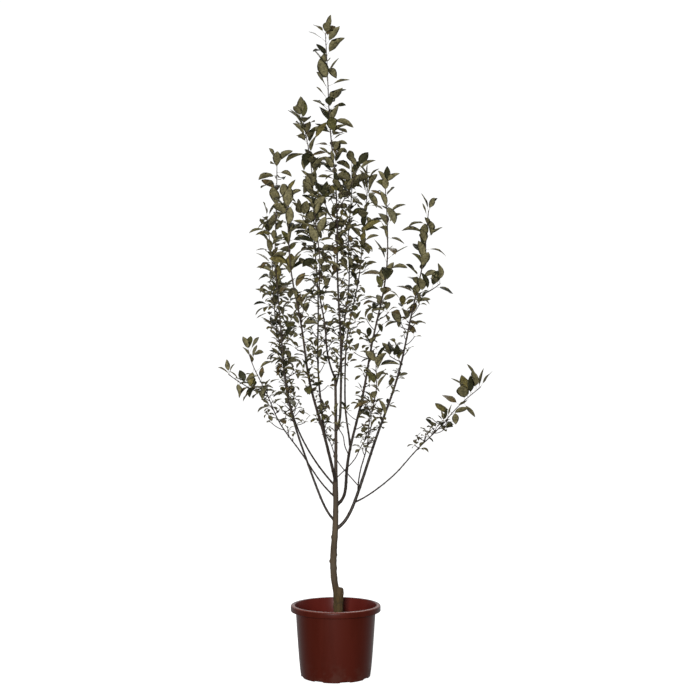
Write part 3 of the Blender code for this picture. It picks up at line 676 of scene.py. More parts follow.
def leaf_finish(name, colour, roughness):
    """One plain leaf tint, a little mottled, with the small relief of veins."""
    made = Finish(name, Specular_IOR_Level=0.10)
    mottle = made.noise(125.0, 3.0, 0.6)
    tones = (tuple(c * share for c in colour) for share in LEAF_MOTTLE)
    veins = made.cells(230.0, feature="DISTANCE_TO_EDGE").between(0.0, 0.12)
    tint = made.mix(mottle.between(0.32, 0.68), *tones)
    return made.done(tint, mottle * 0.12 + roughness, veins * 0.6 + mottle * 0.5, 0.35, 0.0005)


def leaf_tints(kind, shade):
    """All the tints of one kind of leaf, made this much darker, with its paler underside last."""
    tints = [(name, colour, LEAF_ROUGHNESS) for name, (colour, _) in LEAF_TINTS.items()]
    tints.append(("underside", UNDER_TINT, UNDER_ROUGHNESS))
    return [
        leaf_finish(f"{kind}_{name}", tuple(c * shade for c in colour), roughness)
        for name, colour, roughness in tints
    ]


def stalk_finish(name, dark, pale):
    made = Finish(name, Specular_IOR_Level=0.3)
    mottle = made.noise(160.0, 3.0)
    return made.done(made.mix(mottle.between(0.35, 0.65), dark, pale), 0.5, mottle, 0.3, 0.0004)


def floor_finish():
    """A pale, glowing studio floor, so that only a soft trace of shadow shows."""
    glow = {"Emission_Strength": FLOOR_GLOW, "Emission_Color": (1.0, 1.0, 1.0, 1.0)}
    made = Finish("pale_floor", Specular_IOR_Level=0.0, **glow)
    return made.done(made.mix(made.noise(6.0, 3.0), *FLOOR_GREY), 0.95)


def through_stations(stations, height):
    """Centre and radius at a height, on a smooth curve through the stations."""
    heights = [row[0] for row in stations]
    height = min(max(height, heights[0]), heights[-1])
    after = max(1, next(i for i, z in enumerate(heights) if z >= height - 1e-9))
    first, last = stations[after - 1], stations[after]
    before, beyond = stations[max(after - 2, 0)], stations[min(after + 1, len(stations) - 1)]
    span = last[0] - first[0]
    t = (height - first[0]) / span
    values = []
    for k in (1, 2, 3):
        slope_in = (last[k] - before[k]) / (last[0] - before[0]) * span
        slope_out = (beyond[k] - first[k]) / (beyond[0] - first[0]) * span
        values.append(
            first[k] * (2 * t**3 - 3 * t**2 + 1)
            + slope_in * (t**3 - 2 * t**2 + t)
            + last[k] * (3 * t**2 - 2 * t**3)
            + slope_out * (t**3 - t**2)
        )
    return Vector((values[0], values[1], height)), values[2]


def limb_start(limb):
    """Where the limb's centre line leaves its parent's."""
    if limb.parent == "trunk":
        return through_stations(TRUNK_STATIONS, limb.leaves_at)[0]
    parent = next(other for other in LIMBS if other.name == limb.parent)
    return limb_point(parent, limb_share(parent, limb.leaves_at))


def limb_share(limb, height):
    """How far along the limb a height is, from 0 at its parent to 1 at its tip."""
    start = limb_start(limb)
    return (height - start.z) / (limb.tip[2] - start.z)


def limb_point(limb, t):
    """The limb's centre line, t running from 0 at its parent to 1 at the tip of its last leaf."""
    start, tip = limb_start(limb), Vector(limb.tip)
    out = limb.lean * t + (1 - limb.lean) * (1 - (1 - t) ** limb.sweep)
    sway = WANDER * math.sin(math.pi * t)
    phase = WANDER_SHIFT * LIMBS.index(limb)
    x = start.x + (tip.x - start.x) * out + sway * math.sin(phase + WANDER_TURNS[0] * t)
    y = start.y + (tip.y - start.y) * out + sway * math.cos(phase + WANDER_TURNS[1] * t)
    x += limb.bow * math.sin(math.pi * t**BOW_POWER) + limb.nod * math.sin(math.pi * t**NOD_POWER)
    rise = (tip.z - start.z) * t / CROOK_RISE
    x += limb.crook * rise * math.exp(1 - rise)
    return Vector((x, y, start.z + (tip.z - start.z) * t))


def limb_radius(limb, t):
    return SHOOT_TIP_RADIUS + (limb.radius - SHOOT_TIP_RADIUS) * (1 - t)


def heading(azimuth, elevation):
    """A unit vector that many degrees round from +X and up from level."""
    around, up = math.radians(azimuth), math.radians(elevation)
    return Vector((math.cos(around) * math.cos(up), math.sin(around) * math.cos(up), math.sin(up)))


class Line:
    """A stem's centre line and radii, read by the distance from its tip."""

    def __init__(self, points, radii):
        self.points = points[::-1]
        self.radii = radii[::-1]
        self.along = [0.0]
        for a, b in zip(self.points, self.points[1:]):
            self.along.append(self.along[-1] + (b - a).length)
        self.length = self.along[-1]

    def at(self, distance):
        """The point and the radius at a distance from the tip."""
        k = max(1, next((i for i, s in enumerate(self.along) if s >= distance), len(self.along) - 1))
        t = (distance - self.along[k - 1]) / (self.along[k] - self.along[k - 1])
        radius = self.radii[k - 1] + (self.radii[k] - self.radii[k - 1]) * t
        return self.points[k - 1].lerp(self.points[k], t), radius

    def climb(self, distance):
        """1 where the stem rises straight there, and 0 where it lies level."""
        ahead, behind = self.at(max(distance - STEM_STEP, 0.0))[0], self.at(distance + STEM_STEP)[0]
        return (ahead - behind).normalized().z


def stretch(limb, first, last, step):
    """Points and radii of the limb from share first to share last, about a step apart."""
    length = (limb_point(limb, last) - limb_point(limb, first)).length
    count = max(3, math.ceil(length / step))
    shares = [first + (last - first) * k / count for k in range(count + 1)]
    return [limb_point(limb, t) for t in shares], [limb_radius(limb, t) for t in shares]


def leafy_share(limb):
    """The share of the limb from which it bears leaves."""
    return 0.0 if limb.name in ALL_LEAFY else limb_share(limb, limb.leafy_from)


def stem_end(limb):
    """The share of the limb at which its stem ends, one leaf short of its tip."""
    return 1 - END_LEAF_REACH / (Vector(limb.tip) - limb_start(limb)).length


def side_shoot_lines(limb):
    """The lines of the limb's long side shoots, each sagging a little on its way to its tip."""
    lines = []
    for name, height, tip in SIDE_SHOOTS:
        if name != limb.name:
            continue
        foot = limb_point(limb, limb_share(limb, height))
        length = (Vector(tip) - foot).length
        count = math.ceil(length / TWIG_STEP)
        shares = [k / count * (1 - END_LEAF_REACH / length) for k in range(count + 1)]
        points = [foot.lerp(Vector(tip), t) for t in shares]
        for point, t in zip(points, shares):
            point.z -= SIDE_SHOOT_SAG * math.sin(math.pi * t)
        radii = [SHOOT_TIP_RADIUS + (SIDE_SHOOT_RADIUS - SHOOT_TIP_RADIUS) * (1 - t) for t in shares]
        lines.append(Line(points, radii))
    return lines


class Heap:
    """The points and faces of many things that become one piece."""

    def __init__(self):
        self.points = []
        self.faces = []
        self.looks = []

    def add(self, points, faces, looks=0):
        first = len(self.points)
        self.points.extend(tuple(p) for p in points)
        self.faces.extend(tuple(first + k for k in face) for face in faces)
        self.looks.extend(looks if isinstance(looks, list) else [looks] * len(faces))

    def piece(self, name, materials, slot, nodes=()):
        """Makes one smooth piece of the whole heap."""
        mesh = bpy.data.meshes.new(name)
        mesh.from_pydata(self.points, [], self.faces)
        for finish in materials:
            mesh.materials.append(finish)
        mesh.polygons.foreach_set("material_index", self.looks)
        mesh.validate()
        mesh.shade_smooth()
        obj = bpy.data.objects.new(name, mesh)
        bpy.context.scene.collection.objects.link(obj)
        return placed(obj, nodes)


def placed(obj, nodes=()):
    """The piece rides on the one body, and stands for its nodes."""
    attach(obj, BODY)
    if nodes:
        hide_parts(*nodes)
    return obj


def tube_faces(count, sides):
    """The faces of a closed tube: count rings of points, then the middles of its first and last end."""
    faces = [
        (k * sides + j, k * sides + (j + 1) % sides, (k + 1) * sides + (j + 1) % sides, (k + 1) * sides + j)
        for k in range(count - 1)
        for j in range(sides)
    ]
    last, middles = (count - 1) * sides, count * sides
    faces += [((j + 1) % sides, j, middles) for j in range(sides)]
    faces += [(last + j, last + (j + 1) % sides, middles + 1) for j in range(sides)]
    return faces


def rod(heap, points, radii, sides, relief=None):
    """A closed round rod through the points. Relief gives how far each place stands out, by its
    distance along the rod, its angle round it, and where it is."""
    rings = []
    side = Vector((1.0, 0.0, 0.0))
    along = 0.0
    for k, point in enumerate(points):
        ahead = points[min(k + 1, len(points) - 1)] - points[max(k - 1, 0)]
        ahead.normalize()
        side = (side - ahead * side.dot(ahead)).normalized()
        across = ahead.cross(side)
        along += (point - points[k - 1]).length if k else 0.0
        for j in range(sides):
            angle = 2 * math.pi * j / sides
            out = side * math.cos(angle) + across * math.sin(angle)
            reach = radii[k]
            if relief:
                reach += relief(along, math.degrees(angle), point + out * reach)
            rings.append(point + out * reach)
    heap.add(rings + [points[0], points[-1]], tube_faces(len(points), sides))


def angle_between(a, b):
    return abs((a - b + 180) % 360 - 180)


def knots(step, length, height, seed):
    """A rod's relief: a small knot where each bud was, by the golden turn, and low uneven lumps."""
    shift = random.Random(seed).uniform(0, 360)

    def relief(along, angle, place):
        k = round(along / step)
        gap = (along - k * step) / length
        turn = angle_between(angle, shift + GOLDEN_TURN * k) / KNOT_SPREAD
        knot = height * math.exp(-gap * gap - turn * turn)
        ring = height * KNOT_RING * math.exp(-gap * gap)
        return knot + ring + height * KNOT_LUMPS * noise.noise(place * KNOT_LUMP_SCALE)

    return relief


def round_edge(place, centre, radius):
    """How far it is, in each direction, from the place to the edge of a circle round the centre."""

    def reach(angle):
        out = Vector((math.cos(angle), math.sin(angle), 0.0))
        away = Vector((centre.x - place.x, centre.y - place.y, 0.0))
        along = away.dot(out)
        under = radius * radius - away.length_squared + along * along
        return along + math.sqrt(under) if under > 0 else 0.0

    return reach


def trunk_relief(height, angle, place):
    """Bark relief on the trunk: knuckles, ridges and lumps, all rougher on the rootstock."""
    out = 0.0
    for level, azimuth, size in KNUCKLES:
        gap = (height - level) / KNUCKLE_LENGTH
        turn = angle_between(angle, azimuth) / KNUCKLE_SPREAD
        out += size * math.exp(-gap * gap - turn * turn)
        out += size * KNUCKLE_RING * math.exp(-gap * gap)
    low = min(1.0, max(0.0, (ROUGH_BELOW - height) / ROUGH_FADE))
    for scales, depth, deeper in BARK_NOISES:
        pattern = noise.noise(Vector([c * scale for c, scale in zip(place, scales)]))
        out += (depth + deeper * low) * pattern
    return out


def make_trunk():
    """The grafted trunk in one skin: at each height the outline goes round both stem and rootstock."""
    heap = Heap()
    low, high = ROOTSTOCK_STATIONS[0][0], TRUNK_STATIONS[-1][0]
    count = math.ceil((high - low) / TRUNK_STEP)
    rings = []
    for k in range(count + 1):
        height = low + (high - low) * k / count
        centre, radius = through_stations(TRUNK_STATIONS, height)
        centre.z = height
        circles = [round_edge(centre, centre, radius)] if height > TRUNK_STATIONS[0][0] else []
        if height < ROOTSTOCK_STATIONS[-1][0]:
            stock, stock_radius = through_stations(ROOTSTOCK_STATIONS, height)
            circles.append(round_edge(centre, stock, stock_radius))
        for j in range(TRUNK_SIDES):
            angle = 2 * math.pi * j / TRUNK_SIDES
            out = Vector((math.cos(angle), math.sin(angle), 0.0))
            reach = max(circle(angle) for circle in circles)
            reach += trunk_relief(height, math.degrees(angle), centre + out * reach)
            rings.append(centre + out * reach)
    foot = through_stations(TRUNK_STATIONS, low)[0]
    foot.z = low
    top = through_stations(TRUNK_STATIONS, high)[0]
    heap.add(rings + [foot, top], tube_faces(count + 1, TRUNK_SIDES))
    heap.piece("trunk_with_bark", [trunk_finish()], "bark", ["trunk"])


def flared(points, radii):
    """The radii with a collar where the limb leaves its parent."""
    along = 0.0
    made = []
    for k, (point, radius) in enumerate(zip(points, radii)):
        along += (point - points[k - 1]).length if k else 0.0
        made.append(radius * (1 + COLLAR * math.exp(-along / COLLAR_REACH)))
    return made


class Air:
    """What the leaves keep clear of: the wood, and each other's blades."""

    def __init__(self, wood):
        self.wood = KDTree(len(wood))
        for k, (point, radius) in enumerate(wood):
            self.wood.insert(point, k)
        self.radii = [radius for _, radius in wood]
        self.wood.balance()
        self.taken = {}

    def cell(self, point):
        return tuple(math.floor(c / CELL) for c in point)

    def near(self, point):
        x, y, z = self.cell(point)
        for i in (x - 1, x, x + 1):
            for j in (y - 1, y, y + 1):
                for k in (z - 1, z, z + 1):
                    yield from self.taken.get((i, j, k), ())

    def holds(self, points, gap):
        """Whether the points are clear of the wood, and this far from the blades that are there."""
        for point in points:
            _, index, distance = self.wood.find(point)
            if distance - self.radii[index] < WOOD_MARGIN:
                return False
        return all((point - other).length > gap for point in points for other in self.near(point))

    def take(self, points):
        for point in points:
            self.taken.setdefault(self.cell(point), []).append(point)


Leaf = namedtuple("Leaf", "root azimuth rise length width arch fold roll twist wave stalk tint")


def leaf_bones(leaf):
    """The stalk's line, and the blade's midrib with its side and upper directions at each station."""
    out, up = heading(leaf.azimuth, 0), Vector((0.0, 0.0, 1.0))
    across = heading(leaf.azimuth + 90, 0)
    point = leaf.root.copy()
    stalk = [point.copy()]
    for share in (0.5, 1.0):
        rise = math.radians(leaf.rise + STALK_ARCH * (1 - share))
        point = point + (out * math.cos(rise) + up * math.sin(rise)) * leaf.stalk / 2
        stalk.append(point.copy())
    bones = []
    for k, u in enumerate(LEAF_STATIONS):
        if k:
            middle = (u + LEAF_STATIONS[k - 1]) / 2
            bend = math.radians(leaf.rise - leaf.arch * middle)
            step = (u - LEAF_STATIONS[k - 1]) * leaf.length
            point = point + (out * math.cos(bend) + up * math.sin(bend)) * step
        bend = math.radians(leaf.rise - leaf.arch * u)
        above = up * math.cos(bend) - out * math.sin(bend)
        turn = math.radians(leaf.roll + leaf.twist * u)
        side = across * math.cos(turn) + above * math.sin(turn)
        bones.append((point.copy(), side, above * math.cos(turn) - across * math.sin(turn)))
    return stalk, bones


def half_width(leaf, u):
    """Half the blade's width at share u of its length: widest near the middle, pointed at both ends."""
    return leaf.width / 2 * max(0.0, math.sin(math.pi * u**WIDEST_POWER)) ** ROUNDNESS


def blade_places(leaf):
    """Points over the blade, at which its place in the air is tested. Towards the tip they are on the
    midrib alone."""
    _, bones = leaf_bones(leaf)
    places = []
    for k in TESTED_STATIONS:
        point, side, _ = bones[k]
        half = half_width(leaf, LEAF_STATIONS[k])
        places += [point, point + side * half * TESTED_WIDTH, point - side * half * TESTED_WIDTH]
    return places[:-2] + [bones[-1][0]]


def add_leaf(leaf, blades, stalks):
    """One leaf: a thin blade, folded along its midrib and arched, with a stalk of three sides."""
    stalk, bones = leaf_bones(leaf)
    fold = math.radians(leaf.fold)
    upper, lower = [], []
    last = len(LEAF_STATIONS) - 1
    points = []
    index = {}
    for k, u in enumerate(LEAF_STATIONS):
        point, side, above = bones[k]
        half = half_width(leaf, u)
        for j, v in enumerate(LEAF_ACROSS):
            if k in (0, last):
                if j == 0:
                    index[k, 0, "edge"] = len(points)
                    points.append(point)
                continue
            ripple = leaf.wave * half * abs(v) * math.sin(WAVE_ALONG * u + WAVE_ACROSS * v)
            lift = abs(v) * half * math.sin(fold) + ripple
            place = point + side * v * half * math.cos(fold) + above * lift
            if j in (0, len(LEAF_ACROSS) - 1):
                index[k, j, "edge"] = len(points)
                points.append(place)
            else:
                index[k, j, "upper"] = len(points)
                points.append(place)
                index[k, j, "lower"] = len(points)
                points.append(place - above * LEAF_THICKNESS)
    for sheet, faces in (("upper", upper), ("lower", lower)):

        def corner(k, j):
            if k in (0, last):
                return index[k, 0, "edge"]
            return index.get((k, j, "edge"), index.get((k, j, sheet)))

        for k in range(last):
            for j in range(len(LEAF_ACROSS) - 1):
                ring = [corner(k, j), corner(k + 1, j), corner(k + 1, j + 1), corner(k, j + 1)]
                ring = [p for n, p in enumerate(ring) if p not in ring[:n]]
                faces.append(ring[::-1] if sheet == "upper" else ring)
    blades.add(points, upper + lower, [leaf.tint] * len(upper) + [len(LEAF_TINTS)] * len(lower))
    rod(stalks, stalk, [STALK_RADIUS * share for share in STALK_SHAPE], STALK_SIDES)


class Growth:
    """The spurs, leaves, stalks and buds of the whole crown, grown limb by limb."""

    def __init__(self, air):
        self.air = air
        self.blades = Heap()
        self.tuft_blades = Heap()
        self.stalks = Heap()
        self.spurs = Heap()
        self.buds = Heap()

    def spray_tint(self, draw):
        """One of the leaf tints, drawn by how often each comes up."""
        weights = [weight for _, weight in LEAF_TINTS.values()]
        return draw.choices(range(len(weights)), weights)[0]

    def leaf(self, draw, root, azimuth, rise, length, arch, fold, roll, tint, blades):
        """Adds the leaf at the first turn about its root at which the air is free."""
        if draw.random() < STRAY_SHARE:
            tint = self.spray_tint(draw)
        width = length * draw.uniform(*LEAF_WIDTHS)
        twist, wave, stalk = (draw.uniform(*span) for span in (LEAF_TWISTS, LEAF_WAVES, STALKS))
        stalk *= min(1.0, length / YOUNG_LEAF[0])
        gap = LEAF_GAP * min(1.0, length / GAP_LEAF)
        for k in range(TRIES):
            turn = azimuth + k * RETRY_TURN
            leaf = Leaf(root, turn, rise, length, width, arch, fold, roll, twist, wave, stalk, tint)
            places = blade_places(leaf)
            if self.air.holds(places, gap):
                self.air.take(places)
                add_leaf(leaf, blades, self.stalks)
                return leaf
        return None

    def bud(self, root, azimuth, rise, size):
        """A small pointed bud that lies along its shoot."""
        out = heading(azimuth, rise)
        length, radius = BUD_LENGTH * size, BUD_RADIUS * size
        points = [root + out * length * share for share, _ in BUD_SHAPE]
        rod(self.buds, points, [radius * width for _, width in BUD_SHAPE], BUD_SIDES)

    def young_wood(self, line, young, draw, size, habit, crowding):
        """Single leaves by the golden turn along this year's growth, smaller at its end on most limbs."""
        size *= habit.leaf_size
        turn = draw.uniform(0, 360)
        tint = self.spray_tint(draw)
        tip, _ = line.at(SHOOT_TIP_RADIUS)
        for k in range(END_LEAVES):
            rise, arch = (draw.uniform(*span) for span in END_POSES)
            arch, fold = arch * habit.bend, END_FOLD * habit.bend
            length = draw.uniform(*YOUNG_LEAF) * habit.end_size * size
            around, roll = turn + END_TURN * k, draw.uniform(*END_ROLLS)
            self.leaf(draw, tip, around, rise, length, arch, fold, roll, tint, self.blades)
        self.bud(tip, turn, *END_BUD)
        distance = YOUNG_STEP * FIRST_STEP
        while distance < min(young, line.length):
            filled = min(1.0, distance / FILLING_OUT)
            turn += GOLDEN_TURN + draw.uniform(*TURNS)
            root, radius = line.at(distance)
            root = root + heading(turn, 0) * radius * ROOT_SHARE
            rises, arches, _ = draw.choices(LEAF_POSES, [pose[2] for pose in LEAF_POSES])[0]
            leaning = 1 - line.climb(distance)
            rise = draw.uniform(*rises) + RISE_AT_END * (1 - filled) + habit.lift * leaning
            grown = habit.end_size + (1 - habit.end_size) * filled
            shrunk = 1 - SHRINKING * max(0.0, distance / young - FULL_SIZE_TO) / (1 - FULL_SIZE_TO)
            length = draw.uniform(*YOUNG_LEAF) * grown * size * shrunk
            arch, fold = draw.uniform(*arches) * habit.bend, draw.uniform(*YOUNG_FOLDS) * habit.bend
            if draw.random() < NEW_SPRAY_SHARE:
                tint = self.spray_tint(draw)
            roll = draw.uniform(*YOUNG_ROLLS)
            self.leaf(draw, root, turn, rise, length, arch, fold, roll, tint, self.blades)
            self.bud(root, turn, *SIDE_BUD)
            step = YOUNG_STEP_AT_END + (YOUNG_STEP * crowding(distance) - YOUNG_STEP_AT_END) * filled
            distance += step * draw.uniform(*STEPS) * shrunk**STEP_SHRINKING

    def old_wood(self, line, start, end, draw, size, habit):
        """Short spurs, each with a tuft of smaller leaves spread round its tip."""
        turn = draw.uniform(0, 360)
        shift = draw.uniform(0, 100)
        distance = start
        while distance < end:
            turn += GOLDEN_TURN + draw.uniform(*TURNS)
            foot, radius = line.at(distance)
            below = (distance - start) / max(end - start, SPUR_STEP)
            fullness = 1 + CLUMPING * noise.noise(Vector((distance / CLUMP_LENGTH, shift, 0.0)))
            step = (SPUR_STEP + (SPUR_STEP_BELOW - SPUR_STEP) * below) * habit.spurs_apart / fullness
            distance += step * draw.uniform(*STEPS)
            tuft_size = (TUFT_SIZE_ABOVE + (TUFT_SIZE_BELOW - TUFT_SIZE_ABOVE) * below) * math.sqrt(fullness)
            if draw.random() < BROAD_TUFT_SHARE:
                tuft_size *= BROAD_TUFT_SIZE
            reach = draw.choice(SPUR_REACHES)
            azimuth, rise = self.free_way(foot, reach, turn, draw.uniform(*SPUR_RISES))
            if azimuth is None:
                continue
            tip = foot + heading(azimuth, rise) * (reach + radius)
            tint = self.spray_tint(draw)
            grown = []
            count = draw.choice(TUFT_COUNTS)
            for k in range(count):
                around = azimuth + TUFT_SPREAD * (k - (count - 1) / 2) + draw.uniform(*TURNS)
                root = tip.lerp(foot, TUFT_ALONG * k / count)
                length = draw.uniform(*TUFT_LEAF) * size * habit.tuft_size * tuft_size
                spans = (TUFT_ARCHES, TUFT_FOLDS, TUFT_ROLLS, TUFT_RISES)
                arch, fold, roll, up = (draw.uniform(*span) for span in spans)
                blades = self.tuft_blades
                grown.append(self.leaf(draw, root, around, up, length, arch, fold, roll, tint, blades))
            if any(grown):
                self.spur(foot, tip, azimuth, rise, draw)

    def free_way(self, foot, reach, azimuth, rise):
        """The first turn about its foot at which a spur's tip is in free air, with its rise."""
        for k in range(TRIES):
            turn = azimuth + k * RETRY_TURN
            tip = foot + heading(turn, rise) * (reach + WOOD_MARGIN + BUD_RADIUS * 2)
            if self.air.holds([tip], LEAF_GAP * SPUR_GAP_SHARE):
                return turn, rise
        return None, None

    def spur(self, foot, tip, azimuth, rise, draw):
        """A ringed spur that sags a little on its way to the bud at its end."""
        length = (tip - foot).length
        count = max(3, math.ceil(length / SPUR_RING_STEP))
        thick = SPUR_RADIUS if length < SHORT_SPUR else LONG_SPUR_RADIUS
        points, radii = [], []
        for k in range(count + 1):
            point = foot.lerp(tip, k / count)
            point.z -= SPUR_SAG * length * math.sin(math.pi * (k / count))
            points.append(point)
            radii.append(thick * (SPUR_SWELLING - SPUR_TAPER * k / count + SPUR_RING * (k % 2)))
        rod(self.spurs, points, radii, TWIG_SIDES)
        self.bud(tip, azimuth, rise + draw.uniform(*SPUR_BUD_TURNS), SPUR_BUD_SIZE)


def make_wood(lines, boughs, stems):
    """Bark over the bare boughs, and the stems that carry on from them to their tips."""
    for limb in LIMBS:
        share = leafy_share(limb)
        relief = knots(KNOT_STEP, KNOT_LENGTH, BOUGH_KNOT, limb.name)
        if limb.name not in ALL_LEAFY:
            points, radii = stretch(limb, 0.0, share, BOUGH_STEP)
            rod(boughs, points, flared(points, radii), BOUGH_SIDES, relief=relief)
        relief = knots(YOUNG_STEP, KNOT_LENGTH, STEM_KNOT, limb.name)
        for line in lines[limb.name]:
            rod(stems, line.points[::-1], line.radii[::-1], STEM_SIDES, relief=relief)


def all_lines():
    """Each limb's leafy stem and its side shoots, as lines, and every place that wood takes up."""
    lines, wood = {}, []
    for limb in LIMBS:
        share = leafy_share(limb)
        stem = Line(*stretch(limb, share, stem_end(limb), STEM_STEP))
        lines[limb.name] = [stem] + side_shoot_lines(limb)
        bare = stretch(limb, 0.0, share, STEM_STEP) if share else ([], [])
        wood += list(zip(*bare))
        for line in lines[limb.name]:
            wood += list(zip(line.points, line.radii))
    steps = math.ceil((TRUNK_STATIONS[-1][0] - TRUNK_STATIONS[0][0]) / STEM_STEP)
    for k in range(steps + 1):
        wood.append(through_stations(TRUNK_STATIONS, TRUNK_STATIONS[0][0] + k * STEM_STEP))
    return lines, wood


def crowding_of(limb):
    """How close the leaves of a limb's young wood stand, by the distance from its tip."""
    start, share = CROWDED_BELOW.get(limb.name, (0.0, CROWDED.get(limb.name, 1.0)))
    return lambda distance: share if distance > start else 1.0


def make_crown():
    """The boughs and stems, and all that grows on them limb by limb."""
    lines, wood = all_lines()
    boughs, stems = Heap(), Heap()
    make_wood(lines, boughs, stems)
    grown = Growth(Air(wood))
    for limb in LIMBS:
        draw = random.Random(limb.name)
        inner = limb.name in ALL_LEAFY
        size = INNER_LEAF_SIZE if inner else 1.0
        habit = HABITS.get(limb.name, Habit())
        main, *side_shoots = lines[limb.name]
        if not inner:
            lowest = limb_share(limb, limb.leafy_from - habit.spurs_below)
            main = Line(*stretch(limb, lowest, stem_end(limb), STEM_STEP))
        for line in (main, *side_shoots):
            young = limb.young if line is main else SIDE_SHOOT_YOUNG
            end = line.length * (1 - (INNER_BARE_SHARE if inner else 0.0)) - SHOOT_FOOT
            grown.young_wood(line, young, draw, size, habit, crowding_of(limb))
            grown.old_wood(line, young, end, draw, size, habit)
    masses = [limb.name + "_foliage" for limb in LIMBS]
    bare = [limb.name + "_bough" for limb in LIMBS if limb.name not in ALL_LEAFY]
    old_bark = bough_finish("bough_bark", *BOUGH_BARK, 0.45)
    new_bark = bough_finish("shoot_bark", *SHOOT_BARK, 0.35)
    boughs.piece("boughs_with_bark", [old_bark], "bark", bare)
    stems.piece("leafy_stems", [new_bark], "bark", masses)
    grown.spurs.piece("spurs", [new_bark], "bark")
    grown.buds.piece("buds", [stalk_finish("bud_scales", *BUD_SCALES)], "bark")
    grown.stalks.piece("leaf_stalks", [stalk_finish("leaf_stalks", *STALK_GREEN)], "leaf")
    grown.blades.piece("leaves_on_young_wood", leaf_tints("leaf", 1.0), "leaf", masses)
    grown.tuft_blades.piece("leaves_on_spurs", leaf_tints("spur", TUFT_SHADE), "leaf")


def deselect():
    for obj in bpy.context.selected_objects:
        obj.select_set(False)


def arc(centre, radius, first, last, steps):
    """Points round part of a circle, as (radius from the axis, height)."""
    made = []
    for k in range(steps + 1):
        angle = math.radians(first + (last - first) * k / steps)
        made.append((centre[0] + radius * math.cos(angle), centre[1] + radius * math.sin(angle)))
    return made


def turned_up(name, profile, sides):
    """A turned piece, drawn up ring by ring from a circle. The profile starts and ends on the axis."""
    deselect()
    (first_radius, first_height), *others = profile[1:-1]
    bpy.ops.mesh.primitive_circle_add(
        vertices=sides, radius=first_radius, fill_type="TRIFAN", location=(0, 0, first_height)
    )
    obj = bpy.context.object
    obj.name = obj.data.name = name
    bpy.ops.object.transform_apply(location=True, rotation=False, scale=False)
    bpy.ops.object.mode_set(mode="EDIT")
    bpy.ops.mesh.select_mode(type="EDGE")
    bpy.ops.mesh.select_all(action="SELECT")
    bpy.ops.mesh.region_to_loop()
    radius, height = first_radius, first_height
    for next_radius, next_height in others:
        bpy.ops.mesh.extrude_edges_move(TRANSFORM_OT_translate={"value": (0, 0, next_height - height)})
        share = next_radius / radius
        bpy.ops.transform.resize(value=(share, share, 1), center_override=(0, 0, next_height))
        radius, height = next_radius, next_height
    bpy.ops.mesh.extrude_edges_move(TRANSFORM_OT_translate={"value": (0, 0, profile[-1][1] - height)})
    bpy.ops.mesh.merge(type="CENTER")
    bpy.ops.mesh.select_all(action="SELECT")
    bpy.ops.mesh.normals_make_consistent(inside=False)
    bpy.ops.object.mode_set(mode="OBJECT")
    return obj


def wall_radius(height):
    """The radius of the pot's outside at a height below its rim."""
    share = max(0.0, (height - FOOT_BEVEL) / (SHOULDER_HEIGHT - FOOT_BEVEL))
    return FOOT_RADIUS + (SHOULDER_RADIUS - FOOT_RADIUS) * share**WALL_SWELL


def wall_profile(low, high, inset):
    """Points up the pot's wall between two heights, set in from its outside."""
    heights = [low + (high - low) * k / WALL_STEPS for k in range(WALL_STEPS + 1)]
    return [(wall_radius(height) - inset, height) for height in heights]


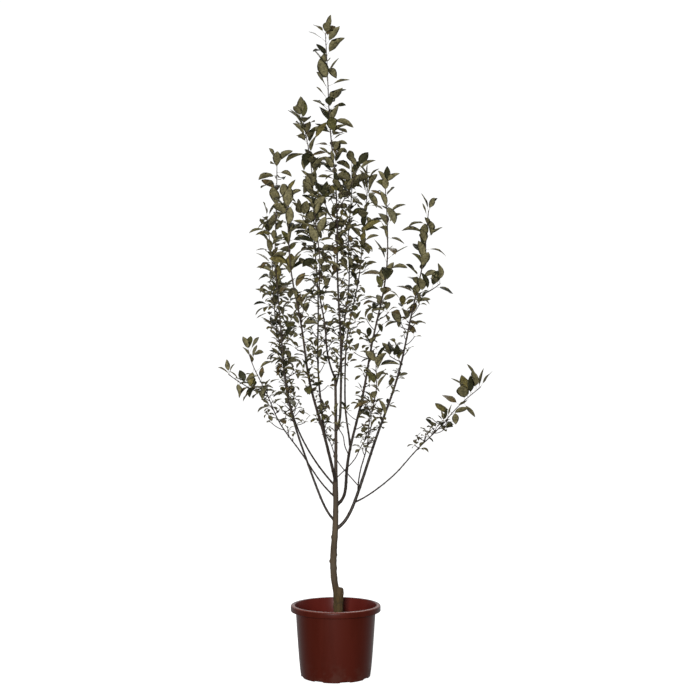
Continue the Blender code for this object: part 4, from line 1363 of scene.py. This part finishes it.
def make_pot():
    """The nursery pot: a broad rim over a tapering wall, a floor, and slots round the foot."""
    outer, inner = RIM_RADIUS - RIM_ROUNDING, RIM_RADIUS - RIM_WIDTH + LIP_ROUNDING
    profile = [(0.0, 0.0), (FOOT_RADIUS * FLOOR_RING, 0.0)]
    profile += arc((FOOT_RADIUS - FOOT_BEVEL, FOOT_BEVEL), FOOT_BEVEL, -90, 0, BEVEL_STEPS)[:-1]
    profile += wall_profile(FOOT_BEVEL, SHOULDER_HEIGHT, 0.0)
    edge = (RIM_RADIUS - EDGE_ROUNDING, RIM_FOOT + EDGE_ROUNDING)
    profile += arc(edge, EDGE_ROUNDING, -80, 0, EDGE_STEPS)
    profile += arc((outer, POT_HEIGHT - RIM_ROUNDING), RIM_ROUNDING, 0, 90, ROUNDING_STEPS)
    profile += arc((inner, POT_HEIGHT - LIP_ROUNDING), LIP_ROUNDING, 90, 180, ROUNDING_STEPS)
    profile += wall_profile(SHOULDER_HEIGHT, FLOOR, WALL)
    profile += [(FOOT_RADIUS * FLOOR_RING, FLOOR), (0.0, FLOOR)]
    pot = turned_up("nursery_pot", profile, POT_SIDES)
    deselect()
    cutters = []
    for k in range(DRAINS):
        azimuth = math.radians(DRAIN_TURN - 90 + 360 * k / DRAINS)
        bpy.ops.mesh.primitive_cylinder_add(vertices=DRAIN_SIDES, radius=1.0, depth=2.0)
        cutter = bpy.context.object
        shape = Matrix.Diagonal((DRAIN_DEPTH, DRAIN_WIDTH / 2, DRAIN_HEIGHT, 1.0))
        lie_down = Matrix.Rotation(math.radians(90), 4, "Y")
        place = Matrix.Rotation(azimuth, 4, "Z") @ Matrix.Translation((FOOT_RADIUS, 0.0, 0.0))
        cutter.data.transform(place @ shape @ lie_down)
        cutters.append(cutter)
    for cutter in cutters:
        cutter.select_set(True)
    bpy.context.view_layer.objects.active = cutters[0]
    bpy.ops.object.join()
    cutter = bpy.context.object
    slots = pot.modifiers.new("drain slots", "BOOLEAN")
    slots.object = cutter
    slots.solver = "EXACT"
    deselect()
    pot.select_set(True)
    bpy.context.view_layer.objects.active = pot
    bpy.ops.object.modifier_apply(modifier=slots.name)
    bpy.data.objects.remove(cutter)
    bpy.ops.object.shade_smooth_by_angle(angle=math.radians(POT_SMOOTH_UNDER))
    pot.data.materials.clear()
    pot.data.materials.append(pot_finish("pot_outside", *PLASTIC_OUTSIDE))
    # The faces inside the pot take the lighter red, which is painted light.
    pot.data.materials.append(pot_finish("pot_inside", *PLASTIC_INSIDE_PAINTED_LIGHTER))
    for face in pot.data.polygons:
        inward = face.normal.x * face.center.x + face.normal.y * face.center.y < 0
        face.material_index = int(inward and face.center.z > FLOOR)
    placed(pot, ["pot"])


def mix_height(x, y):
    """The uneven surface of the mix: a low mound at the trunk, a dip round it, and lumps."""
    distance = math.hypot(x - TRUNK_STATIONS[0][1], y)
    rim = wall_radius(MIX_TOP) - WALL
    out = min(1.0, max(0.0, (distance - TRUNK_FOOT) / (rim - TRUNK_FOOT)))
    height = MIX_TOP - MIX_SINK * math.sin(math.pi * out)
    for scale, layer, share in MIX_NOISES:
        height += MIX_LUMPS * share * noise.noise(Vector((x * scale, y * scale, layer)))
    return height


def make_potting_mix():
    """The mix as one closed body that fills the pot, with its uneven top."""
    top_radius = wall_radius(MIX_TOP) - WALL - MIX_GAP
    foot_radius = wall_radius(FLOOR) - WALL - MIX_GAP
    low = FLOOR + MIX_GAP / 2
    profile = [(0.0, low), (foot_radius * FLOOR_RING, low), (foot_radius, low)]
    profile.append((top_radius, MIX_TOP - MIX_SINK * MIX_EDGE_SINK))
    profile += [(top_radius * (1 - k / MIX_RINGS), MIX_TOP) for k in range(MIX_RINGS)]
    profile.append((0.0, MIX_TOP))
    mix = turned_up("potting_mix_surface", profile, MIX_SIDES)
    for vertex in mix.data.vertices:
        if vertex.co.z > MIX_TOP - MIX_SINK / 2:
            vertex.co.z = mix_height(vertex.co.x, vertex.co.y)
    mix.data.shade_smooth()
    mix.data.materials.clear()
    mix.data.materials.append(mix_finish())
    placed(mix, ["potting_mix"])


def make_chips():
    """Chips of bark that lie on the mix, each a split, uneven block."""
    draw = random.Random("chips")
    chips = Heap()
    rim = wall_radius(MIX_TOP) - WALL - CHIP_LENGTHS[1] * CHIP_FROM_WALL
    for _ in range(CHIPS):
        distance = math.sqrt(draw.uniform(TRUNK_FOOT**2, rim**2))
        azimuth = draw.uniform(0, 360)
        x = TRUNK_STATIONS[0][1] * (1 - distance / rim) + distance * math.cos(math.radians(azimuth))
        y = distance * math.sin(math.radians(azimuth))
        length = draw.uniform(*CHIP_LENGTHS)
        width, thick = (length * draw.uniform(*span) for span in (CHIP_WIDTHS, CHIP_THICKNESSES))
        turn = Matrix.Rotation(math.radians(draw.uniform(0, 360)), 3, "Z")
        for axis, tilt in zip("XY", CHIP_TILTS):
            turn = turn @ Matrix.Rotation(math.radians(draw.gauss(0, tilt)), 3, axis)
        centre = Vector((x, y, mix_height(x, y) + thick * CHIP_LIFT))
        points = []
        for layer, spread in CHIP_FACES:
            for k in range(CHIP_CORNERS):
                angle = math.radians(360 / CHIP_CORNERS * k)
                reach = spread * draw.uniform(*CHIP_REACHES) / 2
                level = layer * thick * draw.uniform(*CHIP_UNEVENNESS)
                spot = Vector((math.cos(angle) * length * reach, math.sin(angle) * width * reach, level))
                points.append(centre + turn @ spot)
        for level in (CHIP_FACES[0][0], draw.uniform(*CHIP_PEAKS)):
            points.append(centre + turn @ Vector((0.0, 0.0, thick * level)))
        chips.add(points, tube_faces(len(CHIP_FACES), CHIP_CORNERS), draw.choice(CHIP_KINDS))
    finishes = [chip_finish(name, *tones) for name, tones in CHIP_TONES.items()]
    obj = chips.piece("bark_chips", finishes, "potting_mix")
    obj.data.set_sharp_from_angle(angle=math.radians(CHIP_SMOOTH_UNDER))


def make_stage():
    """A pale floor, surroundings that are brightest behind, a soft light in front and one behind."""
    deselect()
    bpy.ops.mesh.primitive_plane_add(size=FLOOR_SIZE, location=(0, 0, -FLOOR_DROP))
    ground = bpy.context.object
    ground.name = "pale_floor"
    ground.data.materials.append(floor_finish())
    ground.visible_diffuse = False
    ground.visible_glossy = False
    scene = bpy.context.scene
    scene.world = bpy.data.worlds.new("even sky")
    scene.world.use_nodes = True
    tree = scene.world.node_tree
    sky = tree.nodes["Background"]
    sky.inputs["Color"].default_value = (1.0, 1.0, 1.0, 1.0)
    seen = Sky(tree)
    x, y, z = (seen.way(axis) for axis in "XYZ")
    even = 1.0 - x.math("ABSOLUTE").between(*TO_THE_SIDES)
    level = 1.0 - z.math("ABSOLUTE").between(*OFF_LEVEL)
    behind = y.between(*TO_THE_BACK) * level
    glow = z.between(*UP_THE_BACKDROP) * (HIGH_BACK_LIGHT - BACK_LIGHT) + BACK_LIGHT
    light = even * (EVEN_LIGHT - SIDE_LIGHT) + behind * glow + SIDE_LIGHT
    camera_ray = seen.node("ShaderNodeLightPath", {}, {}, "Is Camera Ray")
    strength = camera_ray * SKY_SEEN + (1.0 - camera_ray) * light
    tree.links.new(strength.socket, sky.inputs["Strength"])
    for name, (place, size, power) in LIGHTS.items():
        lamp = bpy.data.lights.new(name, "AREA")
        lamp.energy = power
        lamp.size = size
        light_object = bpy.data.objects.new(name, lamp)
        light_object.location = place
        aim = Vector(LIGHTS_AIM) - light_object.location
        light_object.rotation_euler = aim.to_track_quat("-Z", "Y").to_euler()
        scene.collection.objects.link(light_object)
    camera = bpy.data.cameras.new("camera")
    camera.sensor_width = SENSOR
    camera.lens = CAMERA_LENS
    camera_object = bpy.data.objects.new("camera", camera)
    camera_object.location = CAMERA_PLACE
    camera_object.rotation_euler = (math.radians(90), 0, 0)
    scene.collection.objects.link(camera_object)
    scene.camera = camera_object
    scene.view_settings.view_transform = "Standard"


make_stage()
make_pot()
make_potting_mix()
make_chips()
make_trunk()
make_crown()
